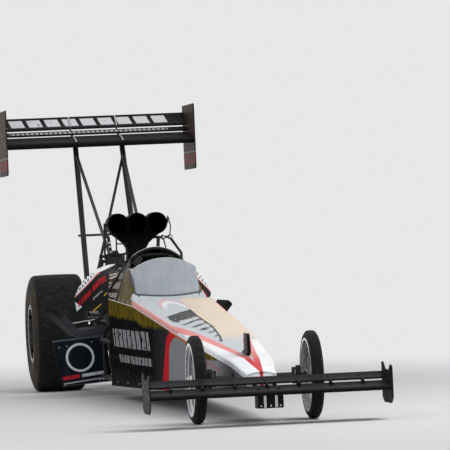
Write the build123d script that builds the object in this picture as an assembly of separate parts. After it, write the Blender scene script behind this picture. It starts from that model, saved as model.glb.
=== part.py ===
"""A drag racing car of the fastest open-wheel class: a long tube frame in thin body panels, an open
cockpit, a supercharged V8 behind the driver, wide slicks and two wings. Millimetres, +Z up.
The nose points along -Y and +X is the car's left. The origin is on the ground, under the middle
of the car. Stations are distances along the car from the rear axle, negative towards the nose."""

import math
import os

from build123d import *

# Overall plan
WHEELBASE = 7620
FRONT_OVERHANG = 740
REAR_OVERHANG = 1130
REAR_AXLE_Y = (FRONT_OVERHANG + WHEELBASE + REAR_OVERHANG) / 2 - REAR_OVERHANG
FRONT = -WHEELBASE
FIT = 0.3
WALL = 6

# Wheels
REAR_TRACK = 940
REAR_TYRE_RADIUS = 464
REAR_TYRE_WIDTH = 440
REAR_RIM_RADIUS = 214
REAR_RIM_WIDTH = 400
REAR_HUB_FACE = 372
FRONT_TRACK = 738
FRONT_TYRE_RADIUS = 279
FRONT_TYRE_WIDTH = 76
FRONT_RIM_RADIUS = 222
FRONT_RIM_WIDTH = 60
REAR_LIP = 16
FRONT_LIP = 10
RIM_SKIN = 7

# Body
COCKPIT_FRONT = -3700
FIREWALL = -2250
NOSE = FRONT - 330
CREASE = 45
CROWN = 12
DECK_ROUND = 16
BODY = (
    # station, half width, deck height, belly height
    (NOSE, 95, 322, 215),
    (FRONT + 60, 140, 397, 178),
    (FRONT + 1520, 222, 535, 150),
    (COCKPIT_FRONT, 292, 747, 115),
    (FIREWALL, 300, 790, 95),
)
SCUTTLE = -3560
COWL_WAIST = -3070
HOOP = -2800
COWL = (
    # station, shoulder half width, shoulder height, top height
    (COCKPIT_FRONT, 276, 735, 747),
    (SCUTTLE, 262, 742, 757),
    (COWL_WAIST, 241, 944, 1010),
    (HOOP, 207, 1008, 1113),
    (FIREWALL, 200, 925, 1050),
)

# Fin on the deck
FIN = FRONT + 300
FIN_LENGTH = 160
FIN_RAKE = 20
FIN_TOP = 551
FIN_SHEET = 5
FIN_SOLE = 12

# Cockpit opening and windshield
OPENING_HALF = 226
OPENING_END_HALF = 188
OPENING_NOSE = -3570
OPENING_CORNER = -3500
OPENING_RIM = 30
GLASS = 5
GLASS_HALF = 233
GLASS_TAPER = 4
GLASS_FOOT = 742
GLASS_TOP = 1036
GLASS_CORNER = 960
GLASS_LEAN = 255
GLASS_SUNK = 18

# Frame
RAIL_RADIUS = 19
BRACE_RADIUS = 12
TAB_RADIUS = 8
RUN_ON = 40
WELD = 0.8
WELD_INSET = 3
PANEL_TOUCH = 1
FRONT_BAYS = 6
DASH = SCUTTLE
RAILS = (
    # station, half spread, upper height, lower height
    (FRONT - 200, 62, 305, 250),
    (FRONT + 60, 98, 330, 216),
    (FRONT + 1520, 178, 455, 190),
    (COCKPIT_FRONT, 247, 640, 156),
    (FIREWALL, 254, 420, 136),
    (-1000, 226, 405, 132),
    (-420, 214, REAR_TYRE_RADIUS + 98, REAR_TYRE_RADIUS - 294),
    (170, 214, REAR_TYRE_RADIUS + 98, REAR_TYRE_RADIUS - 234),
)
CAGE_RADIUS = RAIL_RADIUS - 3
CAGE_HOOPS = (
    # station, shoulder half width, shoulder height, top height
    (-2770, 178, 945, 1060),
    (-2400, 172, 905, 1012),
)
HOOP_FLAT = 0.55

# Cockpit
SEAT_FRONT = COWL_WAIST - 10
SEAT_REST = CAGE_HOOPS[0][0]
SEAT_WIDTH = 356
COLUMN_TILT = 0.1

# Engine
ENGINE_FRONT = -2090
ENGINE_LENGTH = 740
CRANK_HEIGHT = 380
DECK_REACH = 262
HEAD_WIDTH = 170
HEAD_HEIGHT = 95
COVER_HEIGHT = 85
BLOWER_WIDTH = 290
BLOWER_FLOOR = 730
BLOWER_HEIGHT = 225
BLOWER_LENGTH = 560
HAT_TOP = 1380
HAT_BORE = 150
HAT_LIP = 8
HAT_PITCH = 146
HAT_MIDDLE = -1665
PLATE = 12
CAN_RADIUS = 178
PIPE_RADIUS = 30
PIPE_WALL = 3
PORT_PITCH = 160
FIRST_PORT = 130
DRIVE_WIDTH = 76
DRIVE_GAP = 22
BELT = 9
CRANK_PULLEY = 92
BLOWER_PULLEY = 74

# Round the engine bay
FLARE = 5
FLARE_END = -1925
DEFLECTOR = -1050
DEFLECTOR_SHEET = 6
DEFLECTOR_LEAN = 8
DEFLECTOR_CORNERS = ((165, 90), (196, 455), (611, 424), (551, 62))
DEFLECTOR_HOLE = RAIL_RADIUS + 4
DEFLECTOR_MIDDLE = 262
WHEELIE_AXLE = (900, 130)
WHEELIE_PIN = 8
WHEELIE_BOSS = 68
SHELF_END = 580
SHELF_TOP = REAR_TYRE_RADIUS + 124

# Rear wing
WING_HALF = 758
WING_PLATE = 12
WING_PLATE_FRONT = REAR_OVERHANG - 684
WING_PLATE_TOP = 2261
WING_PLATE_FOOT = 1734
STRUT_SPREAD = 190
STRUT_RADIUS = 22
STRUT_FOOT = -156
STRUT_TOP = 630
RIB_FOOT = WING_PLATE_TOP - 311
BRACE_FOOT = -1180
BRACE_KNEE = (135, 1005)
BRACE_ROD = 13

# Front wing
FRONT_WING_HALF = 748
FRONT_PLATE = 8
FRONT_PLATE_FOOT = 100
FRONT_PLATE_TOP = 352
FRONT_WING_CHORD = 360
ARM_ROD = 11
ARM_RISE = 43


def spot(x, station, z):
    """A point given by its station."""
    return (x, REAR_AXLE_Y + station, z)


def across(station):
    """The upright plane across the car at a station, with x to the left and y up."""
    return Plane(origin=spot(0, station, 0), x_dir=(1, 0, 0), z_dir=(0, -1, 0))


def along(x):
    """The upright plane along the car at x, with stations along its x and heights along its y."""
    return Plane(origin=(x, REAR_AXLE_Y, 0), x_dir=(0, 1, 0), z_dir=(1, 0, 0))


def drawn(start, *steps):
    """A closed outline. A step is an end point, or a through point and an end point of an arc."""
    edges = []
    here = start
    for step in steps:
        if isinstance(step[0], tuple):
            edges.append(ThreePointArc(here, step[0], step[1]))
            here = step[1]
        else:
            edges.append(Line(here, step))
            here = step
    if here != start:
        edges.append(Line(here, start))
    return make_face(edges)


def turned(outline):
    """A solid of revolution about the X axis, from (x, radius) points."""
    return revolve(Plane.XZ * drawn(*outline), Axis.X, 360)


def rod(start, end, radius):
    """A round bar between two points."""
    start, end = Vector(*start), Vector(*end)
    run = end - start
    foot = Plane(origin=start, z_dir=run)
    return foot * Cylinder(radius, run.length, align=(Align.CENTER, Align.CENTER, Align.MIN))


def ball(place, radius):
    return Pos(*Vector(*place)) * Sphere(radius)


def bar_chain(points, radius):
    """Round bars through a list of points, joined by welds that stand a little proud."""
    bars = []
    for a, b in zip(points, points[1:]):
        short = (Vector(*b) - Vector(*a)).normalized() * WELD_INSET
        bars.append(rod(Vector(*a) + short, Vector(*b) - short, radius))
    return bars + [ball(p, radius + WELD) for p in points[1:-1]]


def fused(pieces):
    first, *rest = pieces
    return first.fuse(*rest) if rest else first


def flipped(piece):
    """The same piece on the other side of the car."""
    return mirror(piece, Plane.YZ)


def between(table, station):
    """The other columns of a table at any station, on straight lines between its rows."""
    rows = list(zip(table, table[1:]))
    near = next((pair for pair in rows if station <= pair[1][0]), rows[-1])
    share = (station - near[0][0]) / (near[1][0] - near[0][0])
    return [a + (b - a) * share for a, b in zip(near[0][1:], near[1][1:])]


# Body panels


def arch(half, top, foot, crown, inset):
    """The thin open section of the nose cowl, from foot to foot."""
    edge = top - crown
    r = DECK_ROUND
    k = r * (1 - math.sqrt(0.5))
    outer, inner = half, half - inset
    ri = max(r - inset, 4)
    ki = ri * (1 - math.sqrt(0.5))
    inner_edge = edge - inset
    return drawn(
        (-outer, foot),
        (-outer, edge - r),
        ((-outer + k, edge - k), (-outer + r, edge)),
        ((0, top), (outer - r, edge)),
        ((outer - k, edge - k), (outer, edge - r)),
        (outer, foot),
        (inner, foot),
        (inner, inner_edge - ri),
        ((inner - ki, inner_edge - ki), (inner - ri, inner_edge)),
        ((0, top - inset), (-inner + ri, inner_edge)),
        ((-inner + ki, inner_edge - ki), (-inner, inner_edge - ri)),
        (-inner, foot),
    )


def nose_cowl():
    """The one-piece deck from the nose to the cockpit, closed in front."""
    faces = []
    for station in (*(row[0] for row in BODY[:3]), COCKPIT_FRONT - FIT):
        half, deck, belly = between(BODY, station)
        faces.append(across(station) * arch(half, deck, deck - CREASE, CROWN, WALL))
    half, deck, belly = BODY[0][1:]
    front = across(NOSE + WALL) * drawn(
        (-half, belly), (-half, deck - 2 * CROWN), (half, deck - 2 * CROWN), (half, belly)
    )
    return loft(faces, ruled=True) + extrude(front, WALL)


def side_panel():
    """The flat side of the body, left side, with the hole that the front axle passes through."""
    faces = []
    for station in (NOSE + WALL + FIT, *(row[0] for row in BODY[1:])):
        half, deck, belly = between(BODY, station)
        top = deck - CREASE - FIT
        faces.append(
            across(station)
            * drawn((half - WALL, belly), (half, belly), (half, top), (half - WALL, top))
        )
    panel = loft(faces, ruled=True)
    for station, height, radius in ((FRONT, FRONT_TYRE_RADIUS, AXLE_HOLE),
                                    (FRONT + STEER_ARM, TIE_ROD_HEIGHT, TIE_ROD_HOLE)):
        panel -= rod(spot(0, station, height), spot(400, station, height), radius)
    return panel


def belly_pan():
    """The floor between the side panels."""
    faces = []
    for station in (NOSE + WALL + FIT, *(row[0] for row in BODY[1:])):
        half, deck, belly = between(BODY, station)
        edge = half - WALL - FIT
        faces.append(
            across(station)
            * drawn((-edge, belly), (edge, belly), (edge, belly + WALL), (-edge, belly + WALL))
        )
    return loft(faces, ruled=True)


def hood(half, foot, shoulder, shoulder_height, top, inset):
    """The thin open section of the cockpit cowl."""
    inner = half - inset
    inner_shoulder = shoulder - inset
    return drawn(
        (-half, foot),
        (-shoulder, shoulder_height),
        ((0, top), (shoulder, shoulder_height)),
        (half, foot),
        (inner, foot),
        (inner_shoulder, shoulder_height - inset / 2),
        ((0, top - inset), (-inner_shoulder, shoulder_height - inset / 2)),
        (-inner, foot),
    )


def screen_block(inset, foot, end):
    """The leaning block that the windshield is cut from, from a foot to above its top."""
    leaves = []
    for height in (foot, GLASS_TOP + 20):
        share = (height - GLASS_FOOT) / (GLASS_TOP - GLASS_FOOT)
        half = GLASS_HALF - inset - GLASS_TAPER * share
        front, turn, back = (REAR_AXLE_Y + station for station in (
            OPENING_NOSE + GLASS_LEAN * share + inset, OPENING_CORNER + GLASS_LEAN * share + inset, end))
        plan = drawn((-half, back), (-half, turn), ((0, front), (half, turn)), (half, back))
        leaves.append(Pos(0, 0, height) * plan)
    return loft(leaves, ruled=True)


def cockpit_cowl():
    """The cowl round the cockpit opening, with the hoop behind the driver's head."""
    faces = []
    for station, shoulder, height, top in COWL:
        half, deck, belly = between(BODY, station)
        faces.append(across(station) * hood(half, deck - CREASE, shoulder, height, top, WALL))
    shell = loft(faces, ruled=True)
    nose, corner, waist, end = (REAR_AXLE_Y + station for station in (
        OPENING_NOSE + OPENING_RIM, OPENING_CORNER + OPENING_RIM, COWL_WAIST, HOOP))
    hole = drawn((-OPENING_END_HALF, end), (-OPENING_HALF, waist), (-OPENING_HALF, corner),
                 ((0, nose), (OPENING_HALF, corner)), (OPENING_HALF, waist), (OPENING_END_HALF, end))
    shell -= extrude(Pos(0, 0, GLASS_FOOT - CREASE) * hole, 2 * (GLASS_TOP - GLASS_FOOT))
    return shell - screen_block(-FIT, GLASS_FOOT - CREASE, COWL_WAIST + FIT)


def windshield():
    """The wrapped screen that leans back in the opening, with its sides along the rim."""
    screen = screen_block(0, GLASS_FOOT, COWL_WAIST)
    screen -= screen_block(GLASS, GLASS_FOOT - 1, COWL_WAIST + 1)
    side = GLASS_HALF + 1
    front_view = drawn((-side, GLASS_FOOT - 1), (-side, GLASS_CORNER),
                       ((0, GLASS_TOP), (side, GLASS_CORNER)), (side, GLASS_FOOT - 1))
    rim = between(COWL, COWL_WAIST)[1] - GLASS_SUNK
    side_view = drawn((OPENING_NOSE - 1, GLASS_FOOT - 1), (OPENING_NOSE - 1, GLASS_TOP + 1),
                      (COWL_WAIST + 1, GLASS_TOP + 1), (COWL_WAIST + 1, rim),
                      (OPENING_CORNER, GLASS_FOOT - 1))
    screen &= extrude(across(COWL_WAIST + 1) * front_view, COWL_WAIST - OPENING_NOSE + 2)
    return screen & extrude(along(-side) * side_view, 2 * side)


def nose_fin():
    """The small upright fin on its foot, on the deck just behind the front axle."""
    half, tip = FIN_LENGTH / 2, FIN_LENGTH / 2 - FIN_RAKE
    foot = half + FIN_RAKE
    base, deck = (between(BODY, FIN + end)[1] for end in (-foot, foot))
    blade = drawn((FIN - half, base), (FIN - tip, FIN_TOP), (FIN + tip, FIN_TOP), (FIN + half, base))
    sole = drawn((FIN - foot, base - FIN_RAKE), (FIN - foot, base + FIN_SOLE),
                 (FIN + foot, deck + FIN_SOLE), (FIN + foot, base - FIN_RAKE))
    fin = extrude(along(0) * blade, FIN_SHEET, both=True) + extrude(along(0) * sole, FIN_SOLE, both=True)
    reach = foot + 1
    low, high = (between(BODY, FIN + end)[1] + FIT for end in (-reach, reach))
    under = drawn((FIN - reach, low), (FIN + reach, high), (FIN + reach, low - CREASE),
                  (FIN - reach, low - CREASE))
    return fin - extrude(along(0) * under, 2 * FIN_SOLE, both=True)


# Frame

AXLE_RADIUS = 20
AXLE_HOLE = AXLE_RADIUS + 10


def rails(side, upper, first, last, front_gap, back_gap):
    """One rail from one row of the table to another, cut square across the car at both ends."""
    column = 2 if upper else 3
    points = [Vector(*spot(side * row[1], row[0], row[column])) for row in RAILS[first:last + 1]]
    points[0] -= (points[1] - points[0]).normalized() * RUN_ON
    points[-1] += (points[-1] - points[-2]).normalized() * RUN_ON
    bars = bar_chain(points, RAIL_RADIUS)
    for n, station, way in ((0, RAILS[first][0] + front_gap, -1),
                            (len(points) - 2, RAILS[last][0] - back_gap, 1)):
        waste = Box(WHEELBASE, 2 * RUN_ON, WHEELBASE)
        bars[n] = bars[n] - Pos(*spot(0, station + way * RUN_ON, 0)) * waste
    return bars


def bay(stations, panel_tabs):
    """Uprights and cross bars at the stations, with the tabs that carry the body panels."""
    bars = []
    for station in stations:
        half, upper, lower = between(RAILS, station)
        for side in (-1, 1):
            bars.append(rod(spot(side * half, station, lower), spot(side * half, station, upper),
                            BRACE_RADIUS))
            if panel_tabs:
                skin = between(BODY, station)[0] - WALL - FIT - PANEL_TOUCH
                root = half + RAIL_RADIUS / 2
                for height in (lower, upper):
                    bars.append(rod(spot(side * root, station, height),
                                    spot(side * skin, station, height), TAB_RADIUS))
        root = half - RAIL_RADIUS / 2
        bars.append(rod(spot(-root, station, lower), spot(root, station, lower), BRACE_RADIUS))
    return bars


def frame_front():
    """The ladder of rails inside the nose."""
    bars = []
    for side in (-1, 1):
        for upper in (True, False):
            bars += rails(side, upper, 0, 3, 0, FIT)
    stations = [RAILS[0][0] + 20, FRONT + AXLE_RADIUS + BRACE_RADIUS + FIT]
    stations += [FRONT + (COCKPIT_FRONT - FRONT) * n / FRONT_BAYS for n in range(1, FRONT_BAYS)]
    return fused(bars + bay(stations, True))


def hoop(station, foot_half, foot_height, shoulder, shoulder_height, top):
    """One bent roll-over hoop."""
    flat = shoulder * HOOP_FLAT
    points = [spot(-foot_half, station, foot_height), spot(-shoulder, station, shoulder_height),
              spot(-flat, station, top), spot(flat, station, top),
              spot(shoulder, station, shoulder_height), spot(foot_half, station, foot_height)]
    return bar_chain(points, CAGE_RADIUS)


def roll_cage():
    """The cockpit part of the frame, with its two hoops and its head bars."""
    bars = []
    for side in (-1, 1):
        for upper in (True, False):
            bars += rails(side, upper, 3, 4, 0, 0)
    for station, shoulder, height, top in CAGE_HOOPS:
        half, upper, lower = between(RAILS, station)
        bars += hoop(station, half, upper, shoulder, height, top)
    (front, *wide, front_top), (back, *narrow, back_top) = CAGE_HOOPS
    for side in (-1, 1):
        bars.append(rod(spot(side * wide[0], front, wide[1]), spot(side * narrow[0], back, narrow[1]),
                        CAGE_RADIUS - 1))
        bars.append(rod(spot(side * wide[0] * HOOP_FLAT, front, front_top),
                        spot(side * narrow[0] * HOOP_FLAT, back, back_top), CAGE_RADIUS - 2))
    half, upper, lower = between(RAILS, DASH)
    bars.append(rod(spot(-half, DASH, upper), spot(half, DASH, upper), BRACE_RADIUS))
    knees = (COCKPIT_FRONT + SEAT_REST) / 2 + BRACE_RADIUS
    return fused(bars + bay((COCKPIT_FRONT + 2 * RAIL_RADIUS, knees, front, back), True))


def frame_rear():
    """The engine bay and the rails that carry the rear axle."""
    bars = []
    for side in (-1, 1):
        for upper in (True, False):
            bars += rails(side, upper, 4, 7, FIT, 0)
    return fused(bars + bay((FIREWALL + 30, -1200, -700, 150), False))


# Wheels


def tyre(radius, width, bead, crown, shoulder):
    """A turned tyre: a nearly flat tread, round shoulders and full walls."""
    half = width / 2
    tread = crown / 2
    return [
        (-tread, bead + 6),
        ((-half, (radius + bead) / 2), (-tread - shoulder * 0.1, radius - shoulder)),
        ((-tread + shoulder * 0.35, radius - shoulder * 0.25), (-tread + shoulder, radius - 3)),
        ((0, radius), (tread - shoulder, radius - 3)),
        ((tread - shoulder * 0.35, radius - shoulder * 0.25), (tread + shoulder * 0.1, radius - shoulder)),
        ((half, (radius + bead) / 2), (tread, bead + 6)),
        (tread, bead),
        (-tread, bead),
    ]


def rear_tyre():
    solid = turned(tyre(REAR_TYRE_RADIUS, REAR_TYRE_WIDTH, REAR_RIM_RADIUS + FIT, 392, 46))
    return Pos(*spot(REAR_TRACK / 2, 0, REAR_TYRE_RADIUS)) * solid


def front_tyre():
    solid = turned(tyre(FRONT_TYRE_RADIUS, FRONT_TYRE_WIDTH, FRONT_RIM_RADIUS + FIT, 54, 14))
    return Pos(*spot(FRONT_TRACK / 2, FRONT, FRONT_TYRE_RADIUS)) * solid


def barrel(radius, width, lip):
    """The turned outer rim, between its two flanges, as (x, radius) points."""
    half = width / 2
    r = radius
    return turned([
        (-half - 8, r + lip), (-half - 3, r + lip), (-half - 3, r), (half + 3, r),
        (half + 3, r + lip), (half + 8, r + lip), (half + 8, r - RIM_SKIN),
        (-half - 8, r - RIM_SKIN),
    ])


def rear_rim():
    """The wide rim with its drilled centre, seated on the axle flange."""
    rim = barrel(REAR_RIM_RADIUS, REAR_RIM_WIDTH, REAR_LIP)
    face = REAR_HUB_FACE + FIT - REAR_TRACK / 2
    disc = turned([(face, 0), (face, 95), (face + 55, REAR_RIM_RADIUS - 4),
                   (face + 67, REAR_RIM_RADIUS - 4), (face + 12, 95), (face + 12, 0)])
    for n in range(8):
        place = Rot(n * 45, 0, 0) * Pos(0, 0, 150)
        disc -= place * Rot(0, 90, 0) * Cylinder(22, 400)
    wheel = rim + disc
    return Pos(*spot(REAR_TRACK / 2, 0, REAR_TYRE_RADIUS)) * wheel


def front_rim():
    """The narrow rim with its dished disc and long hub."""
    rim = barrel(FRONT_RIM_RADIUS, FRONT_RIM_WIDTH, FRONT_LIP)
    disc = turned([(-6, 0), (-6, 60), (14, FRONT_RIM_RADIUS - 4), (19, FRONT_RIM_RADIUS - 4),
                   (0, 60), (0, 0)])
    for n in range(12):
        place = Rot(n * 30, 0, 0) * Pos(0, 0, 152)
        disc -= place * Rot(0, 90, 0) * Cylinder(20, 200)
    hub = turned([(-34, 0), (-34, 30), (30, 30), (38, 22), (38, 0)])
    wheel = rim + disc + hub
    wheel -= turned([(-40, 0), (-40, SPINDLE_RADIUS + FIT), (20, SPINDLE_RADIUS + FIT), (20, 0)])
    return Pos(*spot(FRONT_TRACK / 2, FRONT, FRONT_TYRE_RADIUS)) * wheel


# Rear axle

HOUSING_TUBE = 55
JACK_PAD_DROP = 176
SHAFT_RADIUS = 24


def axle_housing():
    """The fixed centre case with its nose and its two axle tubes."""
    centre = spot(0, 0, REAR_TYRE_RADIUS)
    end = REAR_HUB_FACE - 20
    tube = turned([(-end, SHAFT_RADIUS + 1), (-end, HOUSING_TUBE), (end, HOUSING_TUBE),
                   (end, SHAFT_RADIUS + 1)])
    case = turned([(-130, SHAFT_RADIUS + 1), (-130, 100), (-90, 165), (90, 165), (130, 100),
                   (130, SHAFT_RADIUS + 1)])
    snout = rod((0, -150, 0), (0, -330, 0), 70) + rod((0, -330, 0), (0, -350, 0), 95)
    whole = tube + case + (snout - turned([(-100, 0), (-100, 150), (100, 150), (100, 0)]))
    brackets = []
    for side in (-1, 1):
        half = between(RAILS, 0)[0]
        brackets.append(Pos(side * (half - RAIL_RADIUS - 6 - FIT), 0, 10) * Box(12, 150, 200))
    pad = Pos(0, 0, -JACK_PAD_DROP + 20) * Box(120, 80, 40)
    shape = Pos(*centre) * (whole + brackets + pad)
    bore = rod(spot(-400, 0, REAR_TYRE_RADIUS), spot(400, 0, REAR_TYRE_RADIUS), SHAFT_RADIUS + 1)
    return shape - bore


def axle_shaft():
    """The solid spool shaft that turns with both rear wheels, with its flanges."""
    f = REAR_HUB_FACE
    shaft = turned([(-f, 0), (-f, 85), (-f + 14, 85), (-f + 14, SHAFT_RADIUS), (f - 14, SHAFT_RADIUS),
                    (f - 14, 85), (f, 85), (f, 0)])
    return Pos(*spot(0, 0, REAR_TYRE_RADIUS)) * shaft


# Front axle and steering

KINGPIN_INSET = 88
KINGPIN_RADIUS = 9
KINGPIN_X = FRONT_TRACK / 2 - KINGPIN_INSET
FORK_HALF = 36
FORK_EAR = 16
KNUCKLE_RADIUS = 17
SPINDLE_RADIUS = 14
STEER_ARM = 120
ARM_RADIUS = 9
ARM_DROP = 24
TIE_ROD_RADIUS = 9
EYE_RADIUS = 15
EYE_HEIGHT = 19
TIE_ROD_HEIGHT = FRONT_TYRE_RADIUS - ARM_DROP + ARM_RADIUS + FIT + EYE_HEIGHT / 2
TIE_ROD_HOLE = TIE_ROD_RADIUS + 14


def front_axle():
    """The tube axle with a forked boss at each end."""
    z = FRONT_TYRE_RADIUS
    beam = rod(spot(-KINGPIN_X + 34, FRONT, z), spot(KINGPIN_X - 34, FRONT, z), AXLE_RADIUS)
    for side in (-1, 1):
        x = side * KINGPIN_X
        beam += Pos(*spot(x - side * 30, FRONT, z)) * Box(16, 44, 2 * (FORK_HALF + FORK_EAR))
        for rise in (-1, 1):
            middle = z + rise * (FORK_HALF + FORK_EAR / 2)
            beam += Pos(*spot(x - side * 7, FRONT, middle)) * Box(50, 40, FORK_EAR)
        beam -= rod(spot(x, FRONT, z - 80), spot(x, FRONT, z + 80), KINGPIN_RADIUS + FIT / 2)
    return beam


def knuckle():
    """The left knuckle: kingpin, spindle and steering arm."""
    ear = FORK_HALF + FORK_EAR + FIT
    head = ear + 10
    body = FORK_HALF - FIT
    pin = [(0, -head), (KINGPIN_RADIUS + 6, -head), (KINGPIN_RADIUS + 6, -ear), (KINGPIN_RADIUS, -ear),
           (KINGPIN_RADIUS, -body), (KNUCKLE_RADIUS, -body), (KNUCKLE_RADIUS, body), (KINGPIN_RADIUS, body),
           (KINGPIN_RADIUS, ear), (KINGPIN_RADIUS + 6, ear), (KINGPIN_RADIUS + 6, head), (0, head)]
    post = revolve(Plane.XZ * drawn(*pin), Axis.Z, 360)
    reach = KINGPIN_INSET
    stub = turned([(0, 0), (0, SPINDLE_RADIUS), (reach - 54, SPINDLE_RADIUS), (reach - 54, 22),
                   (reach - 34 - FIT, 22), (reach - 34 - FIT, SPINDLE_RADIUS), (reach + 18, SPINDLE_RADIUS),
                   (reach + 18, 0)])
    boss_half = ARM_RADIUS
    arm = rod((0, 10, -ARM_DROP), (0, STEER_ARM, -ARM_DROP), ARM_RADIUS - 1)
    boss = rod((0, STEER_ARM, -ARM_DROP - boss_half), (0, STEER_ARM, -ARM_DROP + boss_half), EYE_RADIUS - 1)
    return Pos(*spot(KINGPIN_X, FRONT, FRONT_TYRE_RADIUS)) * (post + stub + arm + boss)


def tie_rod():
    """The bar above both steering arms, with a flat eye at each end."""
    y, z = FRONT + STEER_ARM, TIE_ROD_HEIGHT
    bar = rod(spot(-KINGPIN_X + 10, y, z), spot(KINGPIN_X - 10, y, z), TIE_ROD_RADIUS)
    low, high = z - EYE_HEIGHT / 2, z + EYE_HEIGHT / 2
    for side in (-1, 1):
        bar += rod(spot(side * KINGPIN_X, y, low), spot(side * KINGPIN_X, y, high), EYE_RADIUS)
    return bar


# Engine


def bank_plane(side):
    """The deck face of one cylinder bank, at 45 degrees, at the middle of the engine."""
    lean = math.sqrt(0.5)
    reach = DECK_REACH * lean
    middle = ENGINE_FRONT + ENGINE_LENGTH / 2
    return Plane(origin=spot(side * reach, middle, CRANK_HEIGHT + reach), x_dir=(0, 1, 0),
                 z_dir=(side * lean, 0, lean))


def engine_block():
    """The block with its pan, as one plain V."""
    c = CRANK_HEIGHT
    d = DECK_REACH * math.sqrt(0.5)
    w = HEAD_WIDTH / 2 * math.sqrt(0.5)
    right = [(125, c - 185), (150, c - 30), (165, c + 72), (d + w, c + d - w), (d - w, c + d + w),
             (0, c + 210)]
    points = [*right, *((-x, z) for x, z in reversed(right[:-1]))]
    block = extrude(across(ENGINE_FRONT + ENGINE_LENGTH) * drawn(*points), ENGINE_LENGTH)
    for station in (ENGINE_FRONT, ENGINE_FRONT + ENGINE_LENGTH - PLATE):
        near, upper, lower = between(RAILS, station + PLATE)
        reach = near - RAIL_RADIUS - FIT
        plate = drawn((-reach, lower + 84), (reach, lower + 84), (reach, upper + 30), (150, c + 150),
                      (-150, c + 150), (-reach, upper + 30))
        block += extrude(across(station + PLATE) * plate, PLATE)
    for n in range(4):
        rib = Pos(*spot(0, ENGINE_FRONT + FIRST_PORT + n * PORT_PITCH, c - 120)) * Box(306, 14, 130)
        block += rib
    return block


def cylinder_head(side):
    """One head with its ribbed cover, seated on the bank."""
    plane = bank_plane(side)
    head = Pos(0, 0, FIT + HEAD_HEIGHT / 2) * Box(ENGINE_LENGTH - 40, HEAD_WIDTH, HEAD_HEIGHT)
    cover = Pos(0, 0, HEAD_HEIGHT + COVER_HEIGHT / 2) * Box(ENGINE_LENGTH - 70, HEAD_WIDTH - 20,
                                                            COVER_HEIGHT)
    cover = fillet(cover.edges().group_by(Axis.Z)[-1], 22)
    for n in range(-4, 5):
        rib = Box(8, HEAD_WIDTH - 60, COVER_HEIGHT + 2)
        cover += Pos(n * 70, 0, HEAD_HEIGHT + COVER_HEIGHT / 2 + 3) * rib
    return plane * (head + cover)


def supercharger():
    """The ribbed blower case on its manifold."""
    middle = HAT_MIDDLE + 20
    floor = BLOWER_FLOOR
    case = Pos(*spot(0, middle, floor + BLOWER_HEIGHT / 2)) * Box(BLOWER_WIDTH, BLOWER_LENGTH,
                                                                 BLOWER_HEIGHT)
    case = fillet(case.edges().filter_by(Axis.Y), 60)
    for n in range(9):
        station = middle - BLOWER_LENGTH / 2 + 60 + n * 55
        ring = Pos(*spot(0, station, floor + BLOWER_HEIGHT / 2)) * Box(BLOWER_WIDTH + 16, 8,
                                                                      BLOWER_HEIGHT - 40)
        case += ring
    c = CRANK_HEIGHT + 210 + FIT
    manifold = drawn((-30, c + 30), (0, c), (30, c + 30), (110, floor + 40), (-110, floor + 40))
    base = extrude(across(middle + BLOWER_LENGTH / 2 - 30) * manifold, BLOWER_LENGTH - 60)
    return case + base


def injector_hat():
    """The three-bore air scoop on its funnel."""
    z = HAT_TOP - HAT_BORE / 2 - HAT_LIP
    front = HAT_MIDDLE - 75
    foot = BLOWER_FLOOR + BLOWER_HEIGHT + FIT

    def slab(half, front_station, back_station, height):
        y0, y1 = REAR_AXLE_Y + front_station, REAR_AXLE_Y + back_station
        return Pos(0, 0, height) * drawn((-half, y0), (half, y0), (half, y1), (-half, y1))

    funnel = loft([slab(105, HAT_MIDDLE - 130, HAT_MIDDLE + 170, foot),
                   slab(98, HAT_MIDDLE - 100, HAT_MIDDLE + 150, foot + 110),
                   slab(205, HAT_MIDDLE - 60, HAT_MIDDLE + 110, z)], ruled=True)
    hat = funnel
    for n in (-1, 0, 1):
        hat += rod(spot(n * HAT_PITCH, front, z), spot(n * HAT_PITCH, HAT_MIDDLE + 110, z),
                   HAT_BORE / 2 + HAT_LIP)
    for n in (-1, 0, 1):
        hat -= rod(spot(n * HAT_PITCH, front - 10, z), spot(n * HAT_PITCH, front + 110, z),
                   HAT_BORE / 2)
    return hat


def header(n):
    """One exhaust pipe of the left bank: out of its port, down, round and up."""
    port = ENGINE_FRONT + FIRST_PORT + n * PORT_PITCH
    lean = math.sqrt(0.5)
    reach = (DECK_REACH + HEAD_HEIGHT * 0.5) * lean
    side_out = (HEAD_WIDTH / 2 + FIT) * lean
    start = Vector(*spot(reach + side_out, port, CRANK_HEIGHT + reach - side_out))
    out = Vector(lean, 0, -lean)
    p1 = start + out * 52
    p2 = Vector(*spot(start.X + 225, port + 35, start.Z - 55))
    p3 = Vector(*spot(start.X + 388, port + 120, start.Z + 130))
    path = FilletPolyline(start, p1, p2, p3, radius=(35, 80))
    ring = Circle(PIPE_RADIUS) - Circle(PIPE_RADIUS - PIPE_WALL)
    pipe = sweep(Plane(origin=start, z_dir=out) * ring, path=path)
    flange = Plane(origin=start, z_dir=out) * Pos(0, 0, 4) * (
        Box(96, 96, 8) - Cylinder(PIPE_RADIUS - 1, 10))
    return pipe + flange


def headers():
    """The four open pipes of the left bank."""
    return [header(n) for n in range(4)]


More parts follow.
